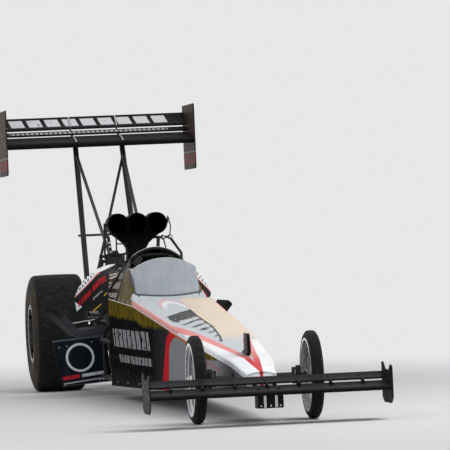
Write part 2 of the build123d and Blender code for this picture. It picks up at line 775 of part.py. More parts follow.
def clutch_can():
    """The housing between the engine and the rear axle, with its coupling."""
    start = ENGINE_FRONT + ENGINE_LENGTH + FIT
    z = CRANK_HEIGHT
    end = -350 - FIT
    y0, y1 = REAR_AXLE_Y + start, REAR_AXLE_Y + end
    rise = REAR_TYRE_RADIUS - CRANK_HEIGHT
    can = revolve(drawn((0, y0), (CAN_RADIUS, y0), (CAN_RADIUS, y0 + 330), (90, y0 + 380), (60, y0 + 420),
                        (0, y0 + 420)), Axis.Y, 360)
    for n in range(3):
        can += rod((0, y0 + 60 + n * 110, 0), (0, y0 + 72 + n * 110, 0), CAN_RADIUS + 7)
    shaft = rod((0, y0 + 400, 0), (0, y1, rise), 55)
    trim = Pos(0, y1 + 100, rise) * Box(300, 200, 300)
    return Pos(0, 0, z) * (can + shaft - trim)


def blower_drive():
    """The toothed belt round the crank and blower pulleys, ahead of the engine."""
    front = ENGINE_FRONT - DRIVE_GAP - DRIVE_WIDTH
    high = BLOWER_FLOOR + BLOWER_HEIGHT / 2
    case = HAT_MIDDLE + 20 - BLOWER_LENGTH / 2

    def wheel(height, radius, first, last):
        return rod(spot(0, first, height), spot(0, last, height), radius)

    def loop(grow):
        low_ring, high_ring = CRANK_PULLEY + grow, BLOWER_PULLEY + grow
        lean = (low_ring - high_ring) / (high - CRANK_HEIGHT)
        points = []
        for height, radius in ((CRANK_HEIGHT, low_ring), (high, high_ring)):
            points.append((radius * math.sqrt(1 - lean * lean), height + radius * lean))
        (x0, z0), (x1, z1) = points
        return drawn((-x0, z0), (-x1, z1), ((0, high + high_ring), (x1, z1)), (x0, z0),
                     ((0, CRANK_HEIGHT - low_ring), (-x0, z0)))

    pulleys = []
    for height, radius, shaft, back in ((CRANK_HEIGHT, CRANK_PULLEY, 40, ENGINE_FRONT - FIT),
                                        (high, BLOWER_PULLEY, 62, case - FIT)):
        rim = radius + BELT + 4
        pulley = wheel(height, radius - FIT, front, front + DRIVE_WIDTH)
        pulley += wheel(height, rim, front - 5, front - FIT) + wheel(height, radius - 2, front - 2, front + 2)
        pulley += wheel(height, shaft, front + DRIVE_WIDTH - 2, back)
        pulley -= wheel(height, radius / 2, front - 20, front + 8)
        pulleys.append(pulley)
    face = loop(BELT) - loop(0)
    return [*pulleys, extrude(across(front + DRIVE_WIDTH) * face, DRIVE_WIDTH)]


# Rear wing


def blade(start, end, thick, camber):
    """A wing section from its nose to its tail, as an outline in a plane along the car."""
    (y0, z0), (y1, z1) = start, end
    run = math.hypot(y1 - y0, z1 - z0)
    u = ((y1 - y0) / run, (z1 - z0) / run)
    n = (-u[1], u[0])

    def off(share, rise):
        return (y0 + u[0] * run * share + n[0] * rise, z0 + u[1] * run * share + n[1] * rise)

    return drawn(
        off(0, 0),
        (off(0.02, thick * 0.35), off(0.10, thick * 0.62 - camber * 0.3)),
        (off(0.45, thick * 0.45 - camber), off(1, 1.2)),
        off(1, -1.2),
        (off(0.45, -thick * 0.55 - camber), off(0.10, -thick * 0.5 - camber * 0.3)),
        (off(0.02, -thick * 0.3), off(0, 0)),
    )


REAR_ELEMENTS = (
    # nose station, nose height, tail station, tail height, thickness, camber
    (470, WING_PLATE_TOP - 299, 800, WING_PLATE_TOP - 221, 42, 22),
    (815, WING_PLATE_TOP - 205, 930, WING_PLATE_TOP - 173, 16, 8),
    (925, WING_PLATE_TOP - 159, 1105, WING_PLATE_TOP - 53, 18, 10),
)


def rear_wing():
    """The three elements joined by two ribs."""
    reach = WING_HALF - FIT
    span = []
    for y0, z0, y1, z1, thick, camber in REAR_ELEMENTS:
        shape = blade((y0, z0), (y1, z1), thick, camber)
        span.append(extrude(along(-reach) * shape, 2 * reach))
    t = WING_PLATE_TOP
    rib = drawn((560, RIB_FOOT), (600, t - 281), (790, t - 228), (920, t - 180), (1080, t - 76),
                (1098, t - 82), (965, t - 196), (820, t - 262), (700, RIB_FOOT))
    for x in (-STRUT_SPREAD, STRUT_SPREAD):
        span.append(extrude(along(x) * rib, 4, both=True))
    return fused(span)


def wing_plate():
    """The left end plate of the rear wing."""
    outline = drawn(
        (WING_PLATE_FRONT, WING_PLATE_FOOT + 30), (WING_PLATE_FRONT, WING_PLATE_TOP - 10),
        (WING_PLATE_FRONT + 10, WING_PLATE_TOP), (REAR_OVERHANG, WING_PLATE_TOP),
        (REAR_OVERHANG, WING_PLATE_FOOT), (WING_PLATE_FRONT + 30, WING_PLATE_FOOT))
    return extrude(along(WING_HALF) * outline, WING_PLATE)


def wing_stand():
    """The struts, braces and cross bars that carry the rear wing."""
    half, rail_top = between(RAILS, -156)[:2]
    lean = math.atan2(STRUT_TOP - STRUT_FOOT, RIB_FOOT - rail_top)
    tip = STRUT_RADIUS * math.sin(lean) + 3 * FIT
    bars = []
    for side in (-1, 1):
        foot = spot(side * half, STRUT_FOOT, rail_top + RAIL_RADIUS + tip)
        top = spot(side * STRUT_SPREAD, STRUT_TOP, RIB_FOOT - tip)
        bars.append(rod(foot, top, STRUT_RADIUS))
        inset, knee_height = BRACE_KNEE
        rail, height = between(RAILS, BRACE_FOOT)[:2]
        tilt = math.atan2(rail - inset, knee_height - height)
        seat_top = height + RAIL_RADIUS + FIT - WELD_INSET + BRACE_ROD * math.sin(tilt)
        bars += bar_chain([spot(side * STRUT_SPREAD, STRUT_TOP - 28, RIB_FOOT - 60),
                           spot(side * inset, BRACE_FOOT, knee_height),
                           spot(side * rail, BRACE_FOOT, seat_top)], BRACE_ROD)

    def between_struts(share, spread, radius):
        """A level cross bar at a share of the struts' height, reaching past them by a spread."""
        y = STRUT_FOOT + (STRUT_TOP - STRUT_FOOT) * share
        z = rail_top + (RIB_FOOT - rail_top) * share
        x = half + (STRUT_SPREAD - half) * share + spread
        return rod(spot(-x, y, z), spot(x, y, z), radius)

    high = spot(STRUT_SPREAD, STRUT_TOP - 42, RIB_FOOT - 76)
    bars.append(rod(high, spot(2 - half, STRUT_FOOT + 20, rail_top + 92), BRACE_ROD - 2))
    return fused([*bars, between_struts(0.48, 40, 9), between_struts(0.09, 0, 14)])


# Front wing


def main_plane_section():
    nose = FRONT - FRONT_OVERHANG + 6
    return blade((nose, 196), (nose + 225, 238), 26, 10)


def front_wing():
    """The main plane and its flap, joined by small brackets, on two mounting arms."""
    reach = FRONT_WING_HALF - FIT
    nose = FRONT - FRONT_OVERHANG + 6
    main = main_plane_section()
    flap = blade((nose + 222, 252), (nose + 345, 292), 12, 5)
    span = [extrude(along(-reach) * shape, 2 * reach) for shape in (main, flap)]
    bracket = drawn((nose + 150, 225), (nose + 215, 225), (nose + 300, 270), (nose + 300, 284),
                    (nose + 235, 262), (nose + 150, 246))
    for n in range(-3, 4):
        span.append(extrude(along(n * 200) * bracket, 4, both=True))
    for side in (-1, 1):
        tilt = math.atan2(ARM_RISE, NOSE - nose - 120)
        end = NOSE - FIT - ARM_ROD * math.sin(tilt)
        span.append(rod(spot(side * 62, nose + 120, 215), spot(side * 62, end, 215 + ARM_RISE), ARM_ROD))
    return fused(span)


def front_wing_plate():
    """The left end plate with its two raised tips."""
    y0 = FRONT - FRONT_OVERHANG
    y1 = y0 + FRONT_WING_CHORD
    foot, top = FRONT_PLATE_FOOT, FRONT_PLATE_TOP
    outline = drawn((y0, foot + 40), (y0 + 6, top - 22), (y0 + 60, top - 12), (y0 + 130, top - 52),
                    (y1 - 110, top - 42), (y1 - 40, top), (y1, top - 4), (y1, foot + 30), (y1 - 60, foot),
                    (y0 + 60, foot))
    return extrude(along(FRONT_WING_HALF) * outline, FRONT_PLATE)


def ballast_box():
    """The small box that hangs under the middle of the front wing."""
    middle = FRONT - FRONT_OVERHANG + 130
    box = Pos(*spot(0, middle, 143)) * Box(160, 130, 76)
    hanger = Pos(*spot(0, middle, 193)) * Box(60, 60, 30)
    return box + (hanger - extrude(along(-100) * main_plane_section(), 200))


# Pieces round the engine bay


def shoulder_flare():
    """The curved left panel that carries on from the cowl and sweeps out beside the engine."""
    half, deck, belly = between(BODY, FIREWALL)
    shoulder, height, top = between(COWL, FIREWALL)
    foot = deck - CREASE
    sections = []
    for station, (x0, z0), (x1, z1), (x2, z2), (x3, z3) in (
        (FIREWALL + FIT, (shoulder, height), ((shoulder + half) / 2 + 8, (height + foot) / 2 + 8),
         (half, foot), (half, foot - 2 * CREASE)),
        (FLARE_END, (190, 1000), (418, 912), (520, 748), (505, 651)),
    ):
        sections.append(across(station) * drawn(
            (x0, z0), ((x1, z1), (x2, z2)), (x3, z3), (x3 - FLARE, z3), (x2 - FLARE, z2),
            ((x1 - FLARE, z1 - FLARE), (x0, z0 - FLARE))))
    return loft(sections, ruled=True)


def tyre_deflector():
    """Black panel ahead of the slick that leans back and out, holed for the rails and tabbed to them."""
    corners = [(x, z - DEFLECTOR_MIDDLE) for x, z in DEFLECTOR_CORNERS]
    sheet = extrude(Plane.XZ * drawn(*corners), DEFLECTOR_SHEET / 2, both=True)
    panel = Pos(*spot(0, DEFLECTOR, DEFLECTOR_MIDDLE)) * Rot(-DEFLECTOR_LEAN, 0, 0) * sheet
    for z in between(RAILS, DEFLECTOR)[1:]:
        station = DEFLECTOR + (z - DEFLECTOR_MIDDLE) * math.tan(math.radians(DEFLECTOR_LEAN))
        rail = between(RAILS, station)[0]
        panel -= rod(spot(rail, station - 30, z), spot(rail, station + 30, z), DEFLECTOR_HOLE)
        panel += rod(spot(rail + RAIL_RADIUS + 2 * FIT, station, z), spot(rail + 62, station, z), TAB_RADIUS)
    return panel


def wheelie_bar():
    """The short bar behind the rear axle, with a bored boss on each side of its wheels."""
    rail, upper, lower = RAILS[-1][1:]
    start = RAILS[-1][0] + FIT + 13
    y, z = WHEELIE_AXLE
    out = WHEELIE_BOSS
    bars = []
    for side in (-1, 1):
        low = spot(side * rail, start, lower)
        high = spot(side * rail, start, upper)
        bars += [rod(low, spot(side * out, y, z), 12), ball(low, 13), ball(high, 13),
                 rod(high, spot(side * out, y - 70, z + 14), 10),
                 rod(spot(side * (out - 14), y, z), spot(side * (out + 14), y, z), 16)]
    share = (y - 120 - start) / (y - start)
    cross = (rail + (out - rail) * share, y - 120, lower + (z - lower) * share)
    bars.append(rod(spot(-cross[0], *cross[1:]), spot(*cross), 9))
    return fused(bars) - rod(spot(-out - 20, y, z), spot(out + 20, y, z), WHEELIE_PIN + FIT / 2)


def wheelie_wheels():
    """The twin small wheels of the wheelie bar on their axle."""
    tread = turned([(10, 0), (10, 44), (14, 50), (42, 50), (46, 44), (46, 0)])
    pin = rod((-WHEELIE_BOSS - 16, 0, 0), (WHEELIE_BOSS + 16, 0, 0), WHEELIE_PIN)
    return Pos(*spot(0, *WHEELIE_AXLE)) * (pin + tread + flipped(tread))


def chute_shelf():
    """The shelf behind the rear axle that carries the packed parachutes."""
    rail, upper, lower = RAILS[-1][1:]
    start = RAILS[-1][0]
    bars = []
    for side in (-1, 1):
        x, z = side * (rail - 26), SHELF_TOP - 16
        bars.append(rod(spot(x, start + FIT, z), spot(x, SHELF_END, z), 11))
    plate = Box(2 * rail - 10, SHELF_END - start - 20, WALL)
    return fused([*bars, Pos(*spot(0, (start + 20 + SHELF_END) / 2, SHELF_TOP - WALL / 2)) * plate])


def parachute_pack():
    """The left of the two packed parachutes, a plain closed pack on the shelf."""
    width, length, height = 170, 330, 190
    pack = Box(width, length, height)
    place = spot(width / 2 + 12, SHELF_END - length / 2 - 15, SHELF_TOP + FIT + height / 2)
    return Pos(*place) * fillet(pack.edges(), 30)


def seat():
    """The bent driver's seat, resting on a cross bar of the cage."""
    rest = between(RAILS, SEAT_REST)[2] + BRACE_RADIUS + FIT
    back = SEAT_REST + 210
    shell = drawn((SEAT_FRONT, rest + 62), (SEAT_REST - 170, rest), (back, rest), (back + 195, 770),
                  (back + 183, 775), (back - 8, rest + 12), (SEAT_REST - 166, rest + 12),
                  (SEAT_FRONT + 20, rest + 68))
    return extrude(along(-SEAT_WIDTH / 2) * shell, SEAT_WIDTH)


def steering_column():
    """The column under the dash bar, with its butterfly wheel."""
    high = between(RAILS, DASH)[1] - 2 * BRACE_RADIUS - FIT
    end = (SEAT_FRONT, high + (SEAT_FRONT - DASH) * COLUMN_TILT)
    column = rod(spot(0, DASH - 60, high - 60 * COLUMN_TILT), spot(0, *end), BRACE_RADIUS)
    wheel = rod(spot(-110, *end), spot(110, *end), 11)
    for side in (-1, 1):
        wheel += rod(spot(side * 110, *end), spot(side * 135, end[0] + 20, end[1] + 90), 12)
        wheel += ball(spot(side * 110, *end), 12 + WELD)
    return column + wheel


def save(name, shape):
    if isinstance(shape, (list, tuple)):
        shape = Compound(children=list(shape))
    export_step(shape, f"parts/{name}.step")


def main():
    os.makedirs("parts", exist_ok=True)
    for name, make in (
        ("nose_cowl", nose_cowl), ("belly_pan", belly_pan), ("cockpit_cowl", cockpit_cowl),
        ("windshield", windshield), ("nose_fin", nose_fin), ("frame_front", frame_front),
        ("roll_cage", roll_cage), ("frame_rear", frame_rear), ("axle_housing", axle_housing),
        ("axle_shaft", axle_shaft), ("front_axle", front_axle), ("tie_rod", tie_rod),
        ("engine_block", engine_block), ("supercharger", supercharger),
        ("injector_hat", injector_hat), ("blower_drive", blower_drive),
        ("clutch_can", clutch_can), ("rear_wing", rear_wing),
        ("wing_stand", wing_stand), ("front_wing", front_wing), ("ballast_box", ballast_box),
        ("wheelie_bar", wheelie_bar), ("wheelie_wheels", wheelie_wheels), ("seat", seat),
        ("steering_column", steering_column), ("chute_shelf", chute_shelf),
    ):
        save(name, make())
    for name, make in (
        ("side_panel", side_panel), ("rear_tyre", rear_tyre), ("rear_rim", rear_rim),
        ("front_tyre", front_tyre), ("front_rim", front_rim), ("knuckle", knuckle),
        ("wing_plate", wing_plate), ("front_wing_plate", front_wing_plate),
        ("shoulder_flare", shoulder_flare), ("tyre_deflector", tyre_deflector),
        ("parachute_pack", parachute_pack),
    ):
        left = make()
        save(name + "_left", left)
        save(name + "_right", flipped(left))
    save("cylinder_head_left", cylinder_head(1))
    save("cylinder_head_right", cylinder_head(-1))
    left = headers()
    save("headers_left", left)
    save("headers_right", [flipped(pipe) for pipe in left])


main()
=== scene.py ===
"""Looks of the drag racing car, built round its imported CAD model.

Metres, nose along -Y, +X is the car's left.
"""

import math
from functools import partialmethod

import bmesh
import bpy
from mathutils import Matrix, Vector


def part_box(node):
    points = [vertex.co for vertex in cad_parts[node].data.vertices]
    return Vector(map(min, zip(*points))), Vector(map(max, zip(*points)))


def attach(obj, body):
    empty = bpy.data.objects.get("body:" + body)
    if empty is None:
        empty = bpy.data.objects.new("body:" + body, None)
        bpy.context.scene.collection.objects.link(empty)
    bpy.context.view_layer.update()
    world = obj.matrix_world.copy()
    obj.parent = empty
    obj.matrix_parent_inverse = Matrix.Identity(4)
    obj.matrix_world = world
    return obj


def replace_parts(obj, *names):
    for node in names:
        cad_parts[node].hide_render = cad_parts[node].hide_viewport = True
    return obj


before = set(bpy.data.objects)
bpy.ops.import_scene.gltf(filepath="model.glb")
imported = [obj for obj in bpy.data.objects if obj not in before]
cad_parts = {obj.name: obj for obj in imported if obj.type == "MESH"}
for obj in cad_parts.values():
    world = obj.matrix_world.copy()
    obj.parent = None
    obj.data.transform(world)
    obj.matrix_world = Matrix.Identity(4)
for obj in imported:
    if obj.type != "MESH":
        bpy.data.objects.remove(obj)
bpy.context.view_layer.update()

AXLE_Y, WHEELBASE = 3.615, 7.62
REAR_RADIUS, REAR_HALF_TRACK = 0.464, 0.47
FRONT_RADIUS, FRONT_HALF_TRACK = 0.279, 0.369
X, Y, Z, AHEAD = Vector((1, 0, 0)), Vector((0, 1, 0)), Vector((0, 0, 1)), Vector((0, -1, 0))
SIDES = ((1, "left"), (-1, "right"))


# Expressions that build shader nodes


class Val:
    """A socket that arithmetic makes Math nodes from."""

    def __init__(self, shade, socket):
        self.shade = shade
        self.socket = socket

    def op(self, kind, *others):
        return self.shade.made("ShaderNodeMath", dict(enumerate((self, *others))), operation=kind)

    __add__ = __radd__ = partialmethod(op, "ADD")
    __sub__ = partialmethod(op, "SUBTRACT")
    __mul__ = __rmul__ = partialmethod(op, "MULTIPLY")
    __truediv__ = partialmethod(op, "DIVIDE")
    __abs__ = partialmethod(op, "ABSOLUTE")
    __pow__ = partialmethod(op, "POWER")
    __or__ = partialmethod(op, "MAXIMUM")
    __and__ = partialmethod(op, "MINIMUM")
    sin = partialmethod(op, "SINE")
    frac = partialmethod(op, "FRACT")

    def __rsub__(self, other):
        return self * -1 + other

    def __invert__(self):
        return 1 - self


class Shade:
    """One material under construction."""

    def __init__(self, name):
        self.material = bpy.data.materials.new(name)
        self.material.use_nodes = True
        self.tree = self.material.node_tree
        self.tree.nodes.clear()
        self.out = self.node("ShaderNodeOutputMaterial")
        self.coords = self.node("ShaderNodeTexCoord").outputs["Object"]
        self.x, self.y, self.z = self.split(self.coords)

    def node(self, kind, **values):
        made = self.tree.nodes.new(kind)
        for key, value in values.items():
            setattr(made, key, value)
        return made

    def put(self, socket, value):
        if isinstance(value, Val):
            value = value.socket
        if isinstance(value, bpy.types.NodeSocket):
            self.tree.links.new(value, socket)
        elif isinstance(value, tuple) and len(value) == 3 and len(socket.default_value) == 4:
            socket.default_value = (*value, 1)
        else:
            socket.default_value = value

    def made(self, kind, inputs, output=0, **values):
        """An output of a new node whose inputs are filled by name or number."""
        node = self.node(kind, **values)
        for key, value in inputs.items():
            self.put(node.inputs[key], value)
        return Val(self, node.outputs[output])

    def split(self, vector):
        node = self.node("ShaderNodeSeparateXYZ")
        self.put(node.inputs[0], vector)
        return [Val(self, socket) for socket in node.outputs]

    def facing(self):
        """The direction that a face looks in."""
        return self.split(self.node("ShaderNodeNewGeometry").outputs["Normal"])

    def point(self, x, y, z):
        return self.made("ShaderNodeCombineXYZ", {0: x, 1: y, 2: z})

    def scaled(self, sx, sy, sz):
        return self.point(self.x * sx, self.y * sy, self.z * sz)

    def noise(self, scale, detail=3, rough=0.5, at=None, warp=0):
        return self.made("ShaderNodeTexNoise", {"Vector": at or self.coords, "Scale": scale, "Detail": detail,
                                                "Roughness": rough, "Distortion": warp})

    def remap(self, value, a, b, c=0, d=1, kind="LINEAR"):
        return self.made("ShaderNodeMapRange", dict(enumerate((value, a, b, c, d))), interpolation_type=kind)

    def spread(self, noise, low, high):
        """Numbers from low to high over most of a noise."""
        return self.remap(noise, 0.3, 0.7, low, high)

    def step(self, value, edge, soft=0.0015):
        """0 below the edge and 1 above it."""
        return self.remap(value - edge, -soft, soft)

    def band(self, value, low, high, soft=0.0015):
        return self.step(value, low, soft) & ~self.step(value, high, soft)

    def specks(self, edge, soft, *noise, **more):
        """1 where a noise is over an edge."""
        return self.step(self.noise(*noise, **more), edge, soft)

    def curve(self, value, points):
        """A line through (value, result) points."""
        lo, hi = points[0][0], points[-1][0]
        results = [p[1] for p in points]
        bottom, top = min(results), max(results)
        node = self.node("ShaderNodeFloatCurve")
        line = node.mapping.curves[0]
        for n, (v, r) in enumerate(points):
            place = (v - lo) / (hi - lo), (r - bottom) / (top - bottom)
            point = line.points[n] if n < 2 else line.points.new(*place)
            point.location = place
        for point in line.points:
            point.handle_type = "VECTOR"
        node.mapping.update()
        self.put(node.inputs["Value"], self.remap(value, lo, hi))
        return self.remap(Val(self, node.outputs[0]), 0, 1, bottom, top)

    def mix(self, share, a, b):
        return self.made("ShaderNodeMix", {"Factor": share, 6: a, 7: b}, 2, data_type="RGBA")

    def layers(self, base, *coats):
        """Colours laid over a base, as (mask, colour) pairs."""
        for mask, colour in coats:
            base = self.mix(mask, base, colour)
        return base

    def bump(self, height, distance, strength=1):
        return self.made("ShaderNodeBump", {"Strength": strength, "Distance": distance, "Height": height})

    def inside(self, height):
        """1 on faces that look towards the car's middle line at a height, else 0."""
        nx, _, nz = self.facing()
        return ~self.step(nx * self.x * 4 + nz * (self.z - height) * 2, -0.06, 0.03)

    def finish(self, colour, rough, metal=0, normal=None, level=None, **more):
        """The material with a Principled surface. Level is how strong its highlights are."""
        inputs = {"Base Color": colour, "Roughness": rough, "Metallic": metal, "Normal": normal,
                  "Specular IOR Level": level, **more}
        inputs = {key.replace("_", " "): value for key, value in inputs.items() if value is not None}
        self.put(self.out.inputs[0], self.made("ShaderNodeBsdfPrincipled", inputs))
        return self.material


def hypot(a, b):
    return (a ** 2 + b ** 2) ** 0.5


def darker(colour, share):
    return tuple(c * share for c in colour)


WHITE = (0.8, 0.82, 0.84)
DECK_GREY = (0.5, 0.53, 0.56)
PAINTED_WARM_REFLECTION = (0.7, 0.58, 0.46)
RED = (0.55, 0.022, 0.03)
# Cream tint of the deck's left half, a painted warm reflection
SALMON = (0.75, 0.27, 0.26)
ORANGE = (0.52, 0.11, 0.012)
OCHRE = (0.19, 0.13, 0.014)
BLACK = (0.008, 0.008, 0.01)
PANEL_GREY = (0.24, 0.245, 0.255)
# Near-black for faces that look inwards, painted shade
PAINTED_SHADE_BLACK = (0.012, 0.012, 0.013)
NAVY = (0.006, 0.009, 0.016)
PRINT = (0.56, 0.5, 0.46)
BACKDROP = (0.8, 0.8, 0.8)


def paint_gloss(s, colour, rough, dust, level):
    """Paint with faint orange peel and road dust."""
    haze = s.noise(3.1, 4, 0.6) * s.noise(11, 3, 0.6)
    film = s.remap(haze, 0.18, 0.5, 0, 0.06 * dust)
    return s.finish(s.mix(film, colour, (0.36, 0.34, 0.31)), s.remap(haze, 0.1, 0.5, rough, rough + 0.16), 0,
                    s.bump(s.noise(420, 2), 0.00012, 0.35), level)


def deck_paint():
    """The light top of the body with its V of red stripes and torn black patch, a cream tint on its left half
    that is a painted warm reflection, and a painted highlight ahead of the windshield.
    """
    s = Shade("deck_paint")
    side = abs(s.x)
    middle = s.curve(s.y, [(-4.34, 0), (-3.98, 0.024), (-3.66, 0.05), (-3.12, 0.098), (-2.63, 0.147),
                           (-2.35, 0.185), (-2.05, 0.212), (-1.7, 0.25)])
    wide = s.curve(s.y, [(-4.34, 0.01), (-4, 0.02), (-3.66, 0.021), (-3.12, 0.026), (-2.35, 0.036),
                         (-2.05, 0.024), (-1.8, 0)])
    left_end = ~s.step(s.x, 0, 0.001) | ~s.step(s.y, -2.86, 0.05)
    arm = ~s.step(abs(side - middle) - wide, 0) & left_end
    grey = ~s.step(side - middle, 0, 0.001) | s.step(s.y, -1.9, 0.02) | ~left_end
    fade = s.curve(s.y, [(-4.3, 0), (-4.05, 0.05), (-3.7, 0.75), (-2.7, 1), (-2.3, 0.75), (-1.9, 0.5)])
    # Line that parts grey from the cream tint, a painted warm reflection on the left half, with torn streaks
    # and a patch on its right
    past = s.x - s.curve(s.y, [(-3, -0.05), (-2.72, -0.02), (-2.08, 0.018), (-1.29, 0.012), (-0.9, 0.02),
                               (0, 0.05)])
    # The cream tint left of the line is a painted warm reflection
    warm_reflection = s.step(past, 0, 0.003) & s.curve(s.y, [(-2.95, 0), (-2.55, 1), (-0.3, 1), (0, 0.8)])
    across = s.y - s.x * 1.6
    ragged = s.noise(9, 4, 0.65, s.scaled(1.6, 0.9, 1)) - 0.5
    right_of_line = ~s.step(past, 0, 0.002) & s.step(s.x + ragged * 0.03, -0.198, 0.004)
    patch = s.band(across + ragged * 0.12, -1.34, -0.95, 0.008) & right_of_line
    gap = s.specks(0.62, 0.03, 11, 3, 0.6, s.point(s.x * 3, across * 2.4, 0))
    gap = gap & s.band(across, -1.32, -1.05, 0.02)
    rows = s.step((across * 25 + s.noise(6, 3) * 7).sin(), 0.25, 0.15)
    reach = s.curve(s.y, [(-2.95, 0.02), (-2.5, 0.05), (-2.2, 0.11), (-1.9, 0.17), (-1.5, 0.21),
                          (-1.2, 0.21)])
    patchy = s.specks(0.43, 0.03, 11, 4, 0.7, s.point(s.x * 2.2, across, 0))
    torn = rows & patchy & s.step(past + reach, 0, 0.01) & right_of_line & s.band(s.y, -2.95, -1.25, 0.05)
    rim = s.band(past, -0.015, 0, 0.001) & s.band(s.y, -2.98, -0.92, 0.02)
    # Painted highlight ahead of the windshield, where light catches the crowned deck: a salmon arc round a
    # whiter middle
    ring = hypot((s.x + 0.062) / 0.098, (s.y + 0.8) / 0.6)
    arc = s.band(ring, 0.88, 1.04, 0.03) & s.step(s.y, -0.78, 0.06)
    inner = s.band(ring, 0.55, 0.88, 0.05) & s.step(s.y, -0.75, 0.08)
    edge = s.curve(s.y, [(-2.05, 0.222), (-0.085, 0.278), (0, 0.282)])
    line = s.step(side - edge, 0, 0.001) & s.step(s.y, -2.1, 0.02)
    hole = ~s.step(hypot(s.x - 0.02, (s.y + 3.62) * 0.8), 0.006, 0.001)
    seam = s.band(s.y, -4.145, -4.141, 0.0006)
    smudge = s.specks(0.58, 0.12, 2.3, 5, 0.7, s.scaled(2, 1, 1)) * 0.12
    colour = s.layers(
        WHITE, (grey, DECK_GREY), (warm_reflection, PAINTED_WARM_REFLECTION), (arc * 0.65, SALMON), (inner * 0.7, WHITE),
        (torn * 0.95, (0.012, 0.012, 0.014)), (patch & ~(gap * 0.7), BLACK), (rim * 0.95, BLACK),
        (arm, s.mix(fade, RED, SALMON)), (line, SALMON), (hole | seam * 0.5, (0.02, 0.02, 0.02)),
        (smudge, (0.22, 0.21, 0.2)))
    return paint_gloss(s, colour, 0.3, 0.8, 0.04)


def side_paint():
    """Body sides: worn ochre above, black behind, a curved red band and plain grey ahead of it."""
    s = Shade("side_paint")
    deck = s.curve(s.y, [(-4.335, 0.322), (-3.945, 0.397), (-2.485, 0.535), (-0.085, 0.747), (1.365, 0.79)])
    drop = deck - s.z
    worn_edge = s.noise(6.5, 5, 0.7, s.scaled(1, 1, 1.6))
    drip = s.noise(9, 3, 0.6, s.scaled(1, 1, 0.45))
    depth = s.curve(s.y, [(-2.1, 0), (-1.7, 0.05), (-0.6, 0.15), (1, 0.18), (1.3, 0.19)])
    upper = ~s.step(drop - depth * 0.92 - (drip - 0.5) * 0.07, 0, 0.012)
    gold = s.mix(s.step(worn_edge, 0.47, 0.14), OCHRE, (0.1, 0.068, 0.01))
    gold = s.mix(s.specks(0.57, 0.08, 11, 4, 0.7) * 0.7, gold, (0.03, 0.022, 0.006))
    band_front = s.curve(s.z, [(0.1, -1.64), (0.2, -1.656), (0.41, -1.715), (0.46, -1.78), (0.5, -1.93),
                               (0.525, -2.2), (0.56, -2.6)])
    band_back = s.curve(s.z, [(0.1, -1.36), (0.2, -1.385), (0.41, -1.54), (0.5, -1.63), (0.56, -1.85),
                              (0.6, -2.2)])
    ahead = ~s.step(s.y - band_front, 0, 0.003)
    band = ~ahead & ~s.step(s.y - band_back, 0, 0.003)
    orange = s.band(s.y, -2.6, -1.75, 0.01) & ~s.step(drop, 0.062, 0.003)
    fade = s.curve(s.y, [(-1.6, 1), (-1.15, 0.6), (-0.9, 0), (1.3, 0)])
    gold_foot = s.curve(s.y, [(-3.95, 0), (-3.3, 0.085), (-3.1, 0.095)]) + (worn_edge - 0.5) * 0.05
    gold_front = s.band(s.y, -3.95, -3.05, 0.03) & ~s.step(drop - gold_foot, 0, 0.008)
    red_line = s.band(drop, 0.108, 0.114, 0.001) & s.band(s.y, -3.6, -2.95, 0.01)
    marks = s.specks(0.6, 0.02, 21, 4, 0.65, s.scaled(1, 1, 1.5)) & s.band(s.y, -3.7, -3, 0.06)
    marks = marks & s.band(drop, 0.12, 0.21, 0.02)
    shade = s.curve(s.y, [(-4.335, 0.75), (-3.9, 0.35), (-3.4, 0), (-2.4, 0)])
    line = ~s.step(drop, 0.05, 0.001) & s.step(s.y, -2.1, 0.02)
    front_white = ~s.step(drop, 0.0475, 0.001) & ~s.step(s.y, -2.1, 0.02)
    # Two rows of plain blocks where the real car has words
    slant = s.y - s.z * 0.6
    large = s.band(s.z, 0.395, 0.525, 0.002) & s.band(slant, -1.1, 0.86, 0.004)
    large = large & s.step((slant * 4.08).frac(), 0.24, 0.01)
    small = s.band(s.z, 0.285, 0.34, 0.002) & s.band(slant, -1.1, 0.62, 0.004)
    small = small & s.step((slant * 6.4).frac(), 0.22, 0.015)
    bars = (large | small) & ~s.specks(0.58, 0.03, 16, 4, 0.75, s.scaled(0.5, 0.5, 1))
    scuff = s.specks(0.63, 0.03, 34, 3, 0.7, s.scaled(1, 0.3, 1)) * 0.35
    colour = s.layers(
        s.mix(fade, BLACK, (0.03, 0.029, 0.031)), (bars * 0.9, (0.3, 0.3, 0.31)), (upper, gold),
        (band, RED), (ahead, PANEL_GREY), (orange, ORANGE), (gold_front, gold), (red_line, RED),
        (marks, (0.05, 0.035, 0.025)), (shade & ahead, (0.12, 0.12, 0.125)), (front_white | line, WHITE),
        (scuff, (0.11, 0.105, 0.1)), (s.remap(s.z, 0.24, 0.1, 0, 0.5), (0.05, 0.048, 0.045)),
        # Faces that look inwards are painted near-black as shade
        (s.inside(0.45), PAINTED_SHADE_BLACK))
    return paint_gloss(s, colour, 0.34, 0.3, 0)


def printed_column(s):
    """Rows of worn plain blocks, one over the other, by height."""
    worn = s.specks(0.42, 0.03, 30, 3, 0.7)
    tall = s.band(s.z, 0.89, 0.932, 0.002) & s.step((s.y * 150 + s.x * 150).sin(), -0.1, 0.2)
    round_row = s.band(s.z, 0.818, 0.866, 0.002) & s.specks(0.46, 0.02, 42, 3, 0.6)
    low_row = s.band(s.z, 0.757, 0.788, 0.002) & s.step((s.y * 210 + s.x * 120).sin(), -0.4, 0.2)
    return (tall | round_row | low_row | s.band(s.z, 0.73, 0.738, 0.001)) & worn


